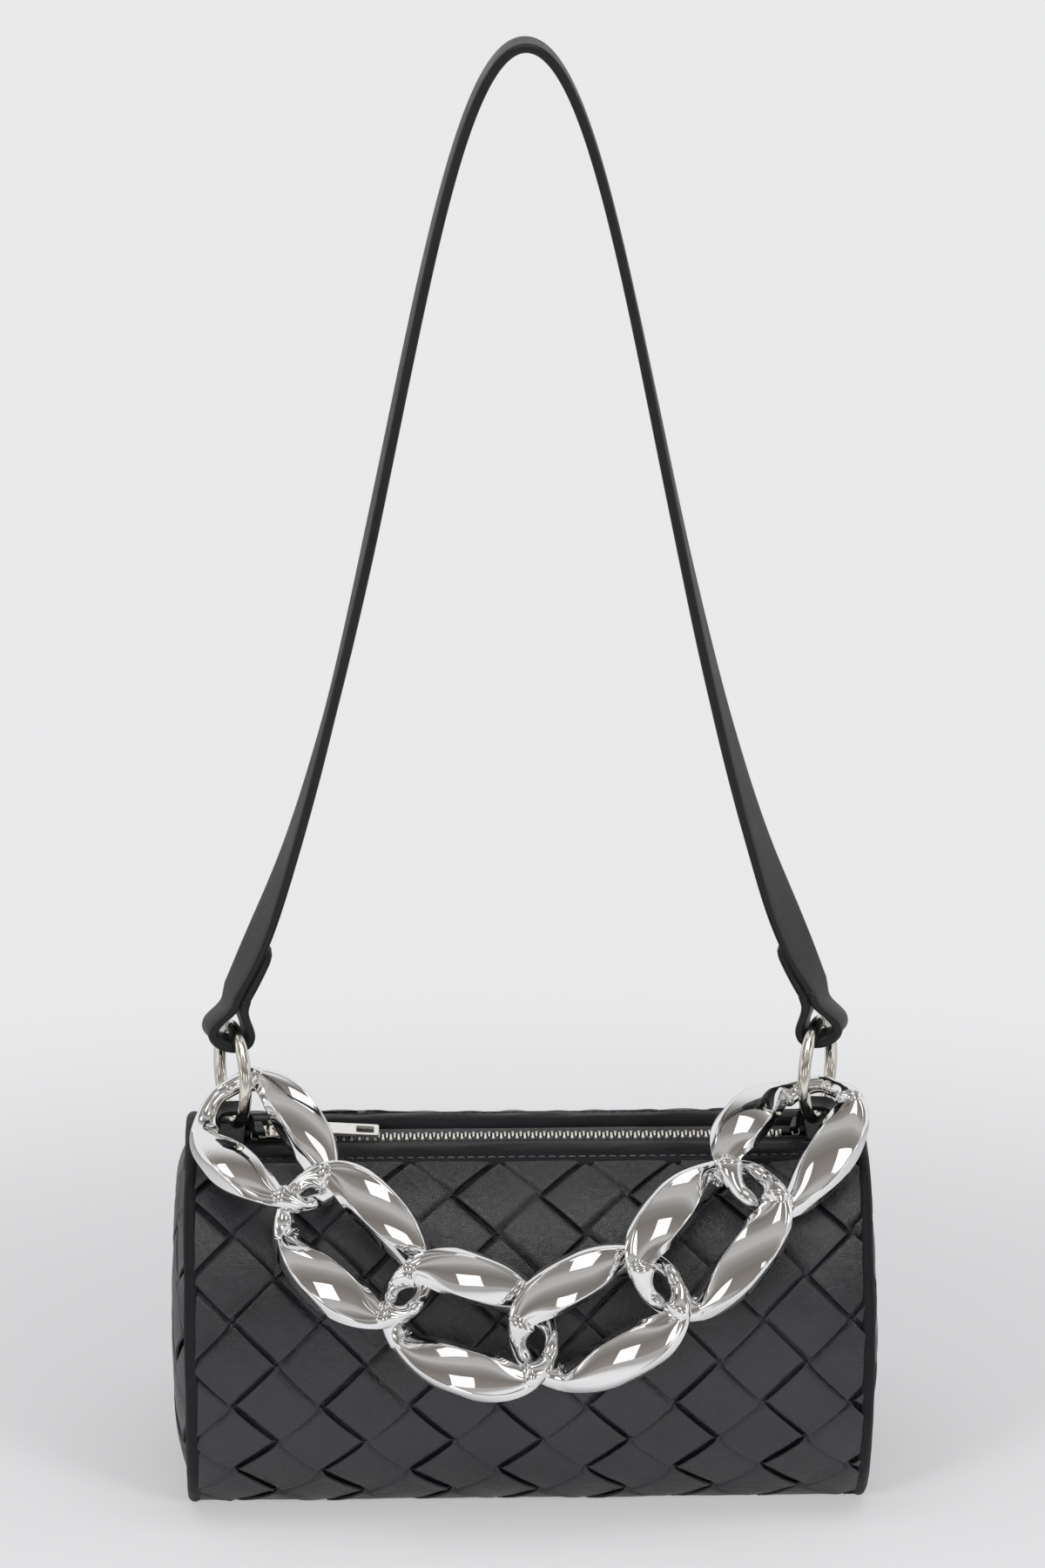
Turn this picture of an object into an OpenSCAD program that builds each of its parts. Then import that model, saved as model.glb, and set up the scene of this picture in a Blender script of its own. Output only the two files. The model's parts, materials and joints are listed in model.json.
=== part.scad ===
// Small woven barrel bag with a top zip, a chunky curb chain and a shoulder strap.
// The bag lies along X, its front faces -Y, and it stands on its flat base at z = 0.

/* [Bag body] */
// Length between the two piping seams
body_l = 228; // [216:1:240]
// Radius of the round body
body_r = 66; // [63:1:69]
// Width of the flat base, front to back
base_w = 52; // [44:1:58]
// Thickness of the woven leather wall
wall_t = 2.4; // [1.8:0.1:3]
// How far each woven end panel bulges past its piping
end_bulge = 5.6; // [4:0.2:8]
// Diameter of the piping cord along each end seam
piping_d = 5; // [4:0.2:6]

/* [Lining and base] */
// Thickness of the fabric lining
lining_t = 0.7; // [0.5:0.1:1]
// Gap between the stiff board in the base and each end seam
board_gap = 11; // [10:0.5:20]
// Width of the stiff board in the base
board_w = 44; // [36:1:46]
// Thickness of the stiff board in the base
board_t = 2; // [1.5:0.1:2.5]

/* [Zip] */
// How far the zip leans to the front, in degrees
zip_lean = 6; // [0:1:10]
// Distance across the zip panel from its centre to the seam with the weave
seam_s = 22; // [20:0.5:24]
// Distance across the zip panel from its centre to the folded edge of a facing
fold_s = 9.5; // [9:0.25:11]
// How far the facings stand above the woven wall
facing_rise = 0.6; // [0.3:0.1:1]
// Thickness of the leather patch over each end of the zip
patch_t = 1.5; // [1.2:0.1:1.8]
// Width of one zip tape
tape_w = 12.5; // [11:0.5:13]
// Thickness of the zip tape
tape_t = 0.6; // [0.4:0.1:0.7]
// Distance from each end seam to the zip's first tooth
zip_end_l = 24; // [22:1:34]
// Distance from one tooth to the next in the same row
tooth_pitch = 2.7; // [2.4:0.1:3.2]
// Width of the meshed teeth, front to back
teeth_w = 5.2; // [4.6:0.1:5.6]
// Height of the teeth
teeth_h = 2.4; // [2:0.1:2.8]
// Length of the zip slider
slider_l = 10.5; // [9:0.5:12]
// Width of the zip slider
slider_w = 9; // [8.4:0.2:10]
// Length of the pull tab from its pivot
pull_l = 36; // [28:1:40]
// Width of the pull tab
pull_w = 8.6; // [7.4:0.2:9]
// Thickness of the pull tab
pull_t = 1.6; // [1.2:0.1:2]

/* [Rings and tabs] */
// Distance of each ring from the end of the bag
ring_inset = 14; // [12:1:16]
// Radius of the ring, to the middle of its wire
ring_r = 16.75; // [16:0.25:17.5]
// Diameter of the ring wire
ring_wire_d = 4.2; // [3.8:0.1:4.4]
// Height of the ring wire's middle above the zip panel, in the tab's loop
ring_seat = 4.9; // [4.7:0.1:5.6]
// Turn of the left ring, its front half towards the middle, in degrees
ring_turn_left = 16; // [8:1:18]
// Turn of the right ring, its front half towards the middle, in degrees
ring_turn_right = 20; // [12:1:21]
// Width of the leather tab that holds the ring
tab_w = 13; // [11:0.5:14]
// Thickness of the tab's leather
tab_t = 1.8; // [1.5:0.1:2]

/* [Shoulder strap] */
// Height of the strap's top above the ring's middle
strap_rise = 353; // [300:1:380]
// Width of the strap
strap_w = 18; // [16:0.5:20]
// Width of the strap where it folds round the ring
strap_end_w = 14; // [12:0.5:15]
// Thickness of the strap
strap_t = 3.2; // [2.6:0.1:3.4]
// Length of the folded end above the ring wire
fold_l = 29; // [24:1:34]
// Play of the ring wire in the strap's fold, front view, both sides together
fold_play = 5.8; // [5.4:0.1:6.4]
// Play of the ring wire in the fold, along the strap
fold_gap = 0.8; // [0.6:0.05:1]

/* [Chain] */
// Length of a link over all
link_l = 62.5; // [62:0.25:63.5]
// Width of a link over all
link_w = 48; // [46:0.5:49]
// Width of the fat side of a link
lobe_w = 17.2; // [16:0.2:17.6]
// Thickness of the fat side of a link
lobe_t = 10.6; // [9:0.2:11]
// Thickness of the thin end bar of a link
bar_d = 5.8; // [5.4:0.1:6]
// Half the rise of a link's twisted corners
link_twist = 5.7; // [5.6:0.1:6]
// Distance between the middles of two links
chain_pitch = 47.2; // [47:0.1:47.4]
// Gap between the woven wall and the plane through the middle of a link
chain_off = 12.2; // [12:0.1:13]

/* [Hidden] */
$fn = 96;

// Clearances
// Overrun of a cut past the face it opens
cut = 1;
// Gap between layers that lie on each other
layer_gap = 0.1;
// Running gap of the slider and of the rings
run_gap = 0.3;

// Angle by which the lining stays clear of the zip tapes
lining_margin = 1;

// Body
axis_z = sqrt(pow(body_r, 2) - pow(base_w / 2, 2));
inner_r = body_r - wall_t;
half_l = body_l / 2;
board_l = body_l - 2 * board_gap;
// Distance of each ring from the middle of the bag
ring_x = half_l - ring_inset;
teeth_l = body_l - 2 * zip_end_l;
seam_a = asin(seam_s / body_r);
fold_a = asin(fold_s / body_r);
piping_r = piping_d / 2;
piping_path_r = body_r - piping_r / 4;
// Length of the wall and of the zip panel between the two pipings
wall_l = body_l - piping_d - 2 * layer_gap;
// Angle from straight down at which the piping meets the base
piping_a = acos((axis_z - piping_r) / piping_path_r);
bulge_r = (pow(body_r, 2) + pow(end_bulge, 2)) / (2 * end_bulge);
lining_r = inner_r - layer_gap;
// Half the angle that the lining leaves open under the zip
lining_a = asin((tape_w + teeth_w / 2) / lining_r) + lining_margin;

// Zip, with its radii measured from the body's axis
facing_r = body_r + facing_rise;
tape_r = inner_r - layer_gap;
tape_a0 = asin((teeth_w / 2 + layer_gap) / tape_r);
tape_a1 = asin((teeth_w / 2 + tape_w) / tape_r);
teeth_top = tape_r - tape_t / 2 + teeth_h / 2;
teeth_bottom = teeth_top - teeth_h;
tooth_w = tooth_pitch / 2 - layer_gap - layer_gap / 2;
tooth_n = floor(teeth_l / tooth_pitch);
bead_w = teeth_w / 5;
stop_l = tooth_pitch;
// Height of the slider's crown, as a share of the slider's width
crown_share = 0.45;
plate_t = slider_w / 6;
slider_x0 = -teeth_l / 2 + slider_l / 2 - stop_l / 2;
crown_l = slider_l / 2;
crown_w = slider_w / 4;
crown_h = slider_w * crown_share;
crown_t = crown_w / 2;
// Thickness of the pull tab's pivot bar, in wall thicknesses of the crown
pivot_share = 1.2;
pivot_d = crown_t * pivot_share;
slider_top = teeth_top + run_gap + plate_t;
pivot_r = slider_top + (crown_h - crown_t) / 2;
pull_arm = crown_w;
// Room in the pull tab for the crown's corner as the tab flips up
pull_cut = norm([crown_l / 2, (crown_h + crown_t) / 2]) + run_gap;
pull_slot_l = pull_l / 7;
pull_slot_w = pull_w / 2;
// The pull tab dips until its tip almost rests on the facings' level
pull_dip = asin((pivot_r - pull_t / 2 - teeth_top - run_gap) / pull_l);

// Rings and tabs
ring_wire_r = ring_wire_d / 2;
patch_r = tape_r + layer_gap + patch_t;
deck_r = patch_r;
wire_y = -(deck_r + ring_seat) * sin(zip_lean);
wire_z = axis_z + (deck_r + ring_seat) * cos(zip_lean);
ring_y = wire_y;
ring_z = wire_z + ring_r;
tab_gap = fold_play / 2 + ring_wire_r;
tab_half = tab_gap + tab_t;

// Strap
// Turn of the strap's ends, as a share of their rings' turn
strap_turn_share = 0.6;
strap_turn_left = ring_turn_left * strap_turn_share;
strap_turn_right = ring_turn_right * strap_turn_share;
fold_half = ring_wire_r + fold_play / 2 + strap_t / 2;
// Height over which the open fold closes above the wire, in half widths of the fold
fold_rise_share = 1.6;
// Squareness of the fold's turn under the wire: 1 is round, less is squarer
fold_square = 0.8;
// Lowest and highest height of the open fold round the wire, from the ring's middle
fold_z0 = ring_r;
fold_z1 = ring_r + ring_wire_r + fold_half * fold_rise_share;
ply_half = strap_t / 2 + layer_gap;
// Lean of the fold over its wire towards the middle of the bag, in degrees
fold_lean = 15;
// How far the fold sits out from the wire's middle, as a share of its play
fold_out_share = 0.2;
fold_out = fold_play * fold_out_share;
// Places that the strap's curve steers by, as shares of half its width and of its height
strap_lean_shares = [0.475, 0.37];
strap_crown_share = 0.345;
// Slight turns of the strap's edge on its way up, in degrees at quarters of a leg
leg_turns_left = [9, -3, -2, 3, 0];
leg_turns_right = [16, 3, -4, -2, 0];
ply_steps = 5;
bend_steps = 8;
leg_steps = 22;
// Speeds at which the strap's turn and its width reach those of the leg, in shares of the leg
turn_speed_share = 12;
width_speed_share = 8;
// Step for reading the leg's direction, as a share of the leg
leg_probe_share = 0.001;
across_shares = [-0.5, -0.25, 0, 0.25, 0.5];

// Chain
link_a = link_l / 2 - bar_d / 2;
link_b = link_w / 2 - lobe_w / 2;
chain_r = body_r + chain_off;
link_steps = 44;
link_sides = 12;
// Step for reading a link's direction, in degrees round the link
link_probe = 0.1;
// How far the fat sides sit from the middle of the link, in degrees round the link
lobe_lead = 7;
// How fast a fat side thins out towards the ends: more is faster
lobe_taper = 2.4;
// Roundness of a link's outline: 2 is an ellipse, more is squarer
link_square = 2.35;
chain_n = 6;
// Slack of the chain as an angle: none for a chain drawn straight from ring to ring
slack_angle = acos(2 * ring_x / (chain_n * chain_pitch));
// Directions of the outer links down the body, in degrees from the bag's length, for the slack given here
drawn_angles = [58.5, 47.5, 49.5, 55];
drawn_slack = 45.07223932;
chain_angles = drawn_angles * slack_angle / drawn_slack;
// Pitch of each link, as a share of the chain's: turned against its neighbour it settles deeper or less
pitch_shares = [1.05, 1.05, 0.99, 1, 1, 1];
// How far each link rolls about its own length, in degrees
link_rolls = [1, 0, 4, 4, -5, -12];
// Places of the chain's ends inside the rings, as shares of the ring's radius: outwards, forwards, down
hook_left_shares = [0.0597015, 0.6268657, 0.3283582];
hook_right_shares = [0.0597015, 0.6567164, 0.3582090];

// Plain vector helpers
function unit(v) = v / norm(v);
function mix(a, b, t) = a + (b - a) * t;
function sgn_pow(v, p) = sign(v) * pow(abs(v), p);
function smooth(t) = let (c = min(1, max(0, t))) c * c * (3 - 2 * c);

// Skin of a tube whose cross-sections are rings of points; closed joins its ends
module skin(rings, closed = false) {
    n = len(rings);
    m = len(rings[0]);
    points = [for (r = rings) each r];
    last = closed ? n - 1 : n - 2;
    sides = [for (i = [0:last]) for (j = [0:m - 1])
        let (a = i * m + j, b = i * m + (j + 1) % m, c = ((i + 1) % n) * m + (j + 1) % m,
            d = ((i + 1) % n) * m + j)
        each [[a, b, c], [a, c, d]]];
    caps = closed ? [] : [[for (j = [m - 1:-1:0]) j], [for (j = [0:m - 1]) (n - 1) * m + j]];
    polyhedron(points = points, faces = concat(sides, caps), convexity = 8);
}

// Places a cross-section drawn in the Y-Z plane along X, centred on the middle of the bag
module along(length) {
    translate([-length / 2, 0, 0])
        rotate([90, 0, 90])
            linear_extrude(length) children();
}

// Moves the body's axis and the zip's lean to the drawing's middle, so +Y is up out of the zip
module zip_frame() {
    translate([0, 0, axis_z])
        rotate([zip_lean, 0, 0]) children();
}

// Flat sector of a ring, from angle a0 to a1 clockwise of straight up
module sector(r_in, r_out, a0, a1) {
    far = r_out * 2;
    intersection() {
        difference() {
            circle(r_out);
            circle(r_in);
        }
        polygon([[0, 0], [far * sin(a0), far * cos(a0)], [far * sin((a0 + a1) / 2), far * cos((a0 + a1) / 2)],
            [far * sin(a1), far * cos(a1)]]);
    }
}

// Wedge that the zip panel takes out of a round wall
module zip_wedge(half_angle, far) {
    rotate(zip_lean)
        polygon([[0, 0], [far * sin(-half_angle), far * cos(half_angle)],
            [far * sin(half_angle), far * cos(half_angle)]]);
}

// Round wall with a flat base, drawn in the section plane
module wall_outline(r, floor_z) {
    intersection() {
        translate([0, axis_z]) circle(r);
        translate([-body_r * 2, floor_z]) square([body_r * 4, body_r * 4]);
    }
}

module body_panel() {
    color("#34343a")
        along(wall_l)
            difference() {
                wall_outline(body_r, 0);
                wall_outline(inner_r, wall_t);
                translate([0, axis_z]) zip_wedge(seam_a, body_r * 2);
            }
}

module end_panel(side) {
    color("#34343a")
        intersection() {
            translate([side * (half_l + end_bulge - bulge_r), 0, axis_z])
                difference() {
                    sphere(bulge_r, $fn = 240);
                    sphere(bulge_r - wall_t, $fn = 240);
                }
            translate([side * (half_l + body_r / 2), 0, 0])
                along(body_r)
                    wall_outline(piping_path_r - piping_r - layer_gap, piping_d + layer_gap);
        }
}
module end_panel_left() {
    end_panel(-1);
}
module end_panel_right() {
    end_panel(1);
}

module piping(side) {
    foot = piping_path_r * sin(piping_a);
    color("#26262a")
        translate([side * half_l, 0, 0]) {
            translate([0, 0, axis_z])
                rotate([90, 0, 90])
                    rotate([0, 0, piping_a - 90])
                        rotate_extrude(angle = 360 - 2 * piping_a)
                            translate([piping_path_r, 0]) circle(piping_r, $fn = 32);
            translate([0, 0, piping_r])
                rotate([90, 0, 0])
                    cylinder(h = 2 * foot + piping_r, r = piping_r - layer_gap, center = true, $fn = 32);
        }
}
module piping_left() {
    piping(-1);
}
module piping_right() {
    piping(1);
}

module lining() {
    color("#1d1d20")
        along(wall_l)
            difference() {
                wall_outline(lining_r, wall_t + layer_gap);
                wall_outline(lining_r - lining_t, wall_t + layer_gap + lining_t);
                translate([0, axis_z]) zip_wedge(lining_a, body_r * 2);
            }
}

module base_board() {
    color("#6b6256")
        translate([-board_l / 2, -board_w / 2, wall_t + lining_t + 2 * layer_gap])
            cube([board_l, board_w, board_t]);
}

// Smooth leather facing from the woven seam to the folded edge beside the zip
module zip_facing(side) {
    color("#2b2b2f")
        zip_frame()
            along(wall_l)
                mirror([side < 0 ? 1 : 0, 0])
                    sector(inner_r, facing_r, fold_a, seam_a - layer_gap);
}
module zip_facing_front() {
    zip_facing(-1);
}
module zip_facing_back() {
    zip_facing(1);
}

module zip_tape(side) {
    color("#232326")
        zip_frame()
            along(body_l - 2 * wall_t)
                mirror([side < 0 ? 1 : 0, 0])
                    sector(tape_r - tape_t, tape_r, tape_a0, tape_a1);
}
module zip_tape_front() {
    zip_tape(-1);
}
module zip_tape_back() {
    zip_tape(1);
}

// One row of teeth on its bead; the two rows mesh half a pitch apart
module zip_teeth(side) {
    shift = side < 0 ? 0 : tooth_pitch / 2;
    color("#c9c2ae")
        zip_frame()
            translate([-teeth_l / 2, 0, teeth_bottom])
                linear_extrude(teeth_h) {
                    translate([0, side < 0 ? -teeth_w / 2 : teeth_w / 2 - bead_w])
                        square([teeth_l, bead_w]);
                    for (i = [0:tooth_n - 1])
                        translate([i * tooth_pitch + shift, side < 0 ? -teeth_w / 2 : -bead_w])
                            square([tooth_w, teeth_w / 2 + bead_w]);
                }
}
module zip_teeth_front() {
    zip_teeth(-1);
}
module zip_teeth_back() {
    zip_teeth(1);
}

// Leather patch that closes the trough at each end of the zip and carries a tab
module zip_patch(side) {
    patch_l = (wall_l - teeth_l) / 2 - 2 * stop_l;
    color("#2b2b2f")
        zip_frame()
            translate([side * (wall_l - patch_l) / 2, 0, 0])
                along(patch_l)
                    sector(tape_r + layer_gap, patch_r, layer_gap - fold_a, fold_a - layer_gap);
}
module zip_patch_left() {
    zip_patch(-1);
}
module zip_patch_right() {
    zip_patch(1);
}

module zip_stops() {
    color("#c9c2ae")
        zip_frame()
            for (side = [-1, 1])
                translate([side * (teeth_l / 2 + stop_l) - stop_l / 2, -teeth_w / 2, teeth_bottom])
                    cube([stop_l, teeth_w, teeth_h]);
}

// Slider: a plate and two flanges over the teeth, a plate under them, and a crown for the pull
module zip_slider() {
    color("#cfccc4")
        zip_frame()
            translate([slider_x0, 0, 0]) {
                translate([-slider_l / 2, -slider_w / 2, teeth_top + run_gap])
                    cube([slider_l, slider_w, plate_t]);
                for (side = [-1, 1])
                    translate([-slider_l / 2, side * (slider_w - plate_t) / 2 - plate_t / 2, tape_r + run_gap])
                        cube([slider_l, plate_t, teeth_top - tape_r + plate_t]);
                translate([-slider_l / 2, -slider_w / 2, teeth_bottom - run_gap - plate_t])
                    cube([slider_l, slider_w, plate_t]);
                translate([-crown_l / 2, -crown_w / 2, slider_top])
                    difference() {
                        cube([crown_l, crown_w, crown_h]);
                        translate([crown_t, -cut, -cut])
                            cube([crown_l - 2 * crown_t, crown_w + 2 * cut, crown_h - crown_t + cut]);
                    }
            }
}

// Pull tab: a round pivot bar through the crown, two arms and a flat bar with a slot at its tip
module zip_puller() {
    color("#d2cfc7")
        zip_frame()
            translate([slider_x0, 0, pivot_r])
                rotate([0, pull_dip, 0]) {
                    rotate([90, 0, 0]) cylinder(h = pull_w, r = pivot_d / 2, center = true, $fn = 24);
                    difference() {
                        translate([0, -pull_w / 2, -pull_t / 2]) cube([pull_l, pull_w, pull_t]);
                        translate([-cut, -pull_w / 2 + pull_arm, -pull_t])
                            cube([pull_cut + cut, pull_w - 2 * pull_arm, pull_t * 2]);
                        translate([pull_l - pull_slot_l - pull_slot_l / 2, -pull_slot_w / 2, -pull_t])
                            cube([pull_slot_l, pull_slot_w, pull_t * 2]);
                    }
                }
}

// Places a piece drawn round the ring's middle, turned with the ring
module ring_frame(side, turn) {
    translate([side * ring_x, ring_y, ring_z])
        rotate([0, 0, -side * turn]) children();
}

// Leather tab: a loop that follows the ring wire and a foot on the zip panel's end
module tab(side, turn) {
    loop_top = ring_r - ring_wire_r - run_gap;
    seat_r = deck_r + layer_gap;
    foot_l = half_l - piping_r - run_gap - ring_x;
    color("#2b2b2f")
        difference() {
            union() {
                ring_frame(side, turn / 2)
                    translate([-tab_half, -tab_w / 2, -ring_r - ring_seat * 2])
                        cube([2 * tab_half, tab_w, ring_seat * 3 + ring_wire_r]);
                translate([side * (ring_x + foot_l / 2), ring_y, axis_z])
                    intersection() {
                        translate([-foot_l / 2, -tab_w / 2, 0]) cube([foot_l, tab_w, seat_r * 2]);
                        translate([0, -ring_y, 0]) along(foot_l * 2) circle(seat_r + tab_t);
                    }
            }
            ring_frame(side, turn / 2) {
                rotate([0, 90, 0])
                    cylinder(h = 4 * tab_half, r = loop_top - tab_t, center = true);
                rotate([0, 90, 0])
                    difference() {
                        cylinder(h = 2 * tab_gap, r = ring_r + ring_wire_r + run_gap, center = true);
                        cylinder(h = 4 * tab_gap, r = loop_top, center = true);
                    }
            }
            translate([0, 0, axis_z])
                along(body_l * 2) circle(seat_r);
        }
}
module tab_left() {
    tab(-1, ring_turn_left);
}
module tab_right() {
    tab(1, ring_turn_right);
}

module ring(side, turn) {
    color("#d3cfc3")
        ring_frame(side, turn)
            rotate([0, 90, 0])
                rotate_extrude()
                    translate([ring_r, 0]) circle(ring_wire_r, $fn = 48);
}
module ring_left() {
    ring(-1, ring_turn_left);
}
module ring_right() {
    ring(1, ring_turn_right);
}

// Shoulder strap. Each end folds round its ring from the inside and lies against the leg.
// A station is [centre, across, through, width, how much it bends with the ring].
function turned(side, turn) = [side * sin(turn), cos(turn), 0];
function level(side, turn) = [cos(turn), -side * sin(turn), 0];
// Outward and upward parts of a step in the fold, leaned over the wire
function leaned(side, turn, out, up) =
    side * (level(side, turn) * out * cos(fold_lean) - [up * sin(fold_lean), 0, 0])
        + [0, 0, out * sin(fold_lean) + up * cos(fold_lean)];
function fold_place(side, turn, off, height) =
    [side * (ring_x + fold_out), ring_y, ring_z + ring_r] + leaned(side, turn, off, height - ring_r);
function fold_station(side, turn, off, height, dir, bend) =
    [fold_place(side, turn, off, height), turned(side, turn),
        unit(leaned(side, turn, dir[0], dir[1])), strap_end_w, bend];
function ply_off(height) = mix(fold_half, ply_half, smooth((height - fold_z0) / (fold_z1 - fold_z0)));
// The free end lies against the leg, and below it both sides of the fold open round the wire
function lying_ply(side, turn, turns, t) = let (s = leg_station(side, turn, turns, t))
    [s[0] - s[2] * 2 * ply_half, s[1], -s[2], strap_end_w, 0];
function fold_end(side) = let (c = leg_curve(side))
    (fold_l + ring_r + ring_wire_r - fold_z1) / (norm(c[1] - c[0]) * (len(c) - 1));
function fold_stations(side, turn, turns) = concat(
    [for (i = [0:ply_steps - 1]) lying_ply(side, turn, turns, fold_end(side) * (1 - i / ply_steps))],
    [for (i = [1:ply_steps])
        let (h = mix(fold_z1, fold_z0 + ring_wire_r / 2, i / ply_steps))
        fold_station(side, turn, -ply_off(h), h, [-1, 0], i / ply_steps)],
    [for (i = [0:bend_steps])
        let (a = 180 * i / bend_steps, drop = ring_wire_r + fold_gap + strap_t / 2)
        fold_station(side, turn, -fold_half * cos(a), fold_z0 - drop * sgn_pow(sin(a), fold_square),
            [-cos(a), -sin(a)], 1)],
    [for (i = [1:ply_steps - 1])
        let (h = mix(fold_z0, fold_z1, i / ply_steps))
        fold_station(side, turn, ply_off(h), h, [1, 0], 1 - i / ply_steps)]);

function bezier(p, t) = let (s = 1 - t)
    p[0] * pow(s, 3) + p[1] * 3 * s * s * t + p[2] * 3 * s * t * t + p[3] * pow(t, 3);
function leg_curve(side) =
    [fold_place(side, 0, ply_half, fold_z1),
        [side * ring_x * strap_lean_shares[0], ring_y, ring_z + strap_rise * strap_lean_shares[1]],
        [side * ring_x * strap_crown_share, ring_y, ring_z + strap_rise],
        [0, ring_y, ring_z + strap_rise]];
function leg_turn(turns, t) = let (s = t * 4, i = min(3, floor(s)))
    mix(turns[i], turns[i + 1], smooth(s - i));
function leg_station(side, turn, turns, t) =
    let (p = leg_curve(side), low = min(1 - leg_probe_share, t),
        along_leg = unit(bezier(p, low + leg_probe_share) - bezier(p, low)),
        out = unit(cross([0, 1, 0], along_leg)) * side,
        w = mix(turn, leg_turn(turns, t), smooth(t * turn_speed_share)))
    [bezier(p, t), [0, cos(w), 0] + out * sin(w), out * cos(w) - [0, sin(w), 0],
        mix(strap_end_w, strap_w, smooth(t * width_speed_share)), 0];
function leg_stations(side, turn, turns) =
    [for (i = [0:leg_steps]) leg_station(side, turn, turns, i / leg_steps)];
function across_points(s, face) =
    [for (c = across_shares)
        let (w = c * s[3], drop = s[4] * (ring_r - sqrt(pow(ring_r, 2) - w * w)))
        s[0] + s[1] * w + s[2] * face * strap_t / 2 - [0, 0, drop]];
function strap_ring(s) = let (a = across_points(s, 1), b = across_points(s, -1))
    concat(a, [for (i = [len(b) - 1:-1:0]) b[i]]);
function half_strap(side, turn, turns) =
    concat(fold_stations(side, turn, turns), leg_stations(side, turn, turns));

module shoulder_strap() {
    left = half_strap(-1, strap_turn_left, leg_turns_left);
    right = half_strap(1, strap_turn_right, leg_turns_right);
    rings = concat([for (s = left) strap_ring(s)], [for (i = [len(right) - 2:-1:0]) strap_ring(right[i])]);
    color("#2b2b2f") skin(rings);
}

// Chain. A link is drawn flat round its own middle: x along it, y across it, z out of the bag.
function round_link(u) = let (k = 2 / link_square) [link_a * sgn_pow(cos(u), k), link_b * sgn_pow(sin(u), k)];
// 1 in the middle of a fat side, 0 at the thin ends
function fatness(u) = pow(abs(sin(u - lobe_lead)), lobe_taper);
function link_centre(u) = let (p = round_link(u)) [p[0], p[1], -link_twist * sin(2 * u)];
function link_ring(u) =
    let (c = link_centre(u), f = fatness(u),
        run = unit(link_centre(u + link_probe) - link_centre(u - link_probe)),
        out = unit(cross(run, [0, 0, 1])), top = cross(out, run),
        w = mix(bar_d, lobe_w, f) / 2, t = mix(bar_d, lobe_t, f) / 2)
    [for (j = [0:link_sides - 1]) let (v = 360 * j / link_sides) c + out * w * cos(v) + top * t * sin(v)];

// Joints of the chain: each is [x, distance down the body from its top], on the chain's own cylinder
function on_body(p) = let (a = p[1] / chain_r * 180 / PI)
    [p[0], -chain_r * sin(a), axis_z + chain_r * cos(a)];
function pitch(i) = chain_pitch * pitch_shares[i - 1];
function step(p, side, a, i) = p + pitch(i) * [-side * cos(a), sin(a)];
function hook_place(side) = ring_r * (side < 0 ? hook_left_shares : hook_right_shares);
function hook(side) = let (h = hook_place(side)) [side * (ring_x + h[0]), ring_y - h[1], ring_z - h[2]];
// Distance of the hook from the top of the chain's cylinder, down the body
function hook_s(side) = chain_r * asin((hook_place(side)[1] - ring_y) / chain_r) * PI / 180;
// First joint: one pitch from the hook in the ring to the chain's cylinder, found by halving
halvings = 24;
function first_joint(side, a, lo, hi, n) =
    let (s = (lo + hi) / 2, p = [hook(side)[0] - side * (s - hook_s(side)) * cos(a) / sin(a), s])
    n == 0 ? p : norm(on_body(p) - hook(side)) > pitch(side < 0 ? 1 : chain_n)
        ? first_joint(side, a, lo, s, n - 1) : first_joint(side, a, s, hi, n - 1);
joint_1 = first_joint(-1, chain_angles[0], hook_s(-1), hook_s(-1) + chain_pitch, halvings);
joint_5 = first_joint(1, chain_angles[3], hook_s(1), hook_s(1) + chain_pitch, halvings);
joint_2 = step(joint_1, -1, chain_angles[1], 2);
joint_4 = step(joint_5, 1, chain_angles[2], 5);
// The two lowest links meet where both are one pitch away from their neighbours' joints
span = joint_4 - joint_2;
reach = (pow(norm(span), 2) + pow(pitch(3), 2) - pow(pitch(4), 2)) / (2 * norm(span));
joint_3 = joint_2 + unit(span) * reach + unit([-span[1], span[0]]) * sqrt(pow(pitch(3), 2) - pow(reach, 2));
joints = [hook(-1), on_body(joint_1), on_body(joint_2), on_body(joint_3), on_body(joint_4), on_body(joint_5),
    hook(1)];

module chain_link(i) {
    middle = (joints[i - 1] + joints[i]) / 2;
    run = unit(joints[i] - joints[i - 1]);
    out_0 = unit([0, middle[1], middle[2] - axis_z]);
    out_1 = unit(out_0 - run * (out_0 * run));
    roll = link_rolls[i - 1];
    up_1 = cross(out_1, run);
    out = out_1 * cos(roll) + up_1 * sin(roll);
    up = cross(out, run);
    turn = [[run[0], up[0], out[0], middle[0]], [run[1], up[1], out[1], middle[1]],
        [run[2], up[2], out[2], middle[2]], [0, 0, 0, 1]];
    rings = [for (k = [0:link_steps - 1])
        [for (p = link_ring(360 * k / link_steps))
            let (q = turn * [p[0], p[1], p[2], 1]) [q[0], q[1], q[2]]]];
    color("#d9dadd") skin(rings, closed = true);
}
module chain_link_1() {
    chain_link(1);
}
module chain_link_2() {
    chain_link(2);
}
module chain_link_3() {
    chain_link(3);
}
module chain_link_4() {
    chain_link(4);
}
module chain_link_5() {
    chain_link(5);
}
module chain_link_6() {
    chain_link(6);
}

body_panel();
end_panel_left();
end_panel_right();
piping_left();
piping_right();
lining();
base_board();
zip_facing_front();
zip_facing_back();
zip_tape_front();
zip_tape_back();
zip_teeth_front();
zip_teeth_back();
zip_stops();
zip_patch_left();
zip_patch_right();
zip_slider();
zip_puller();
tab_left();
tab_right();
ring_left();
ring_right();
chain_link_1();
chain_link_2();
chain_link_3();
chain_link_4();
chain_link_5();
chain_link_6();
shoulder_strap();
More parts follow.
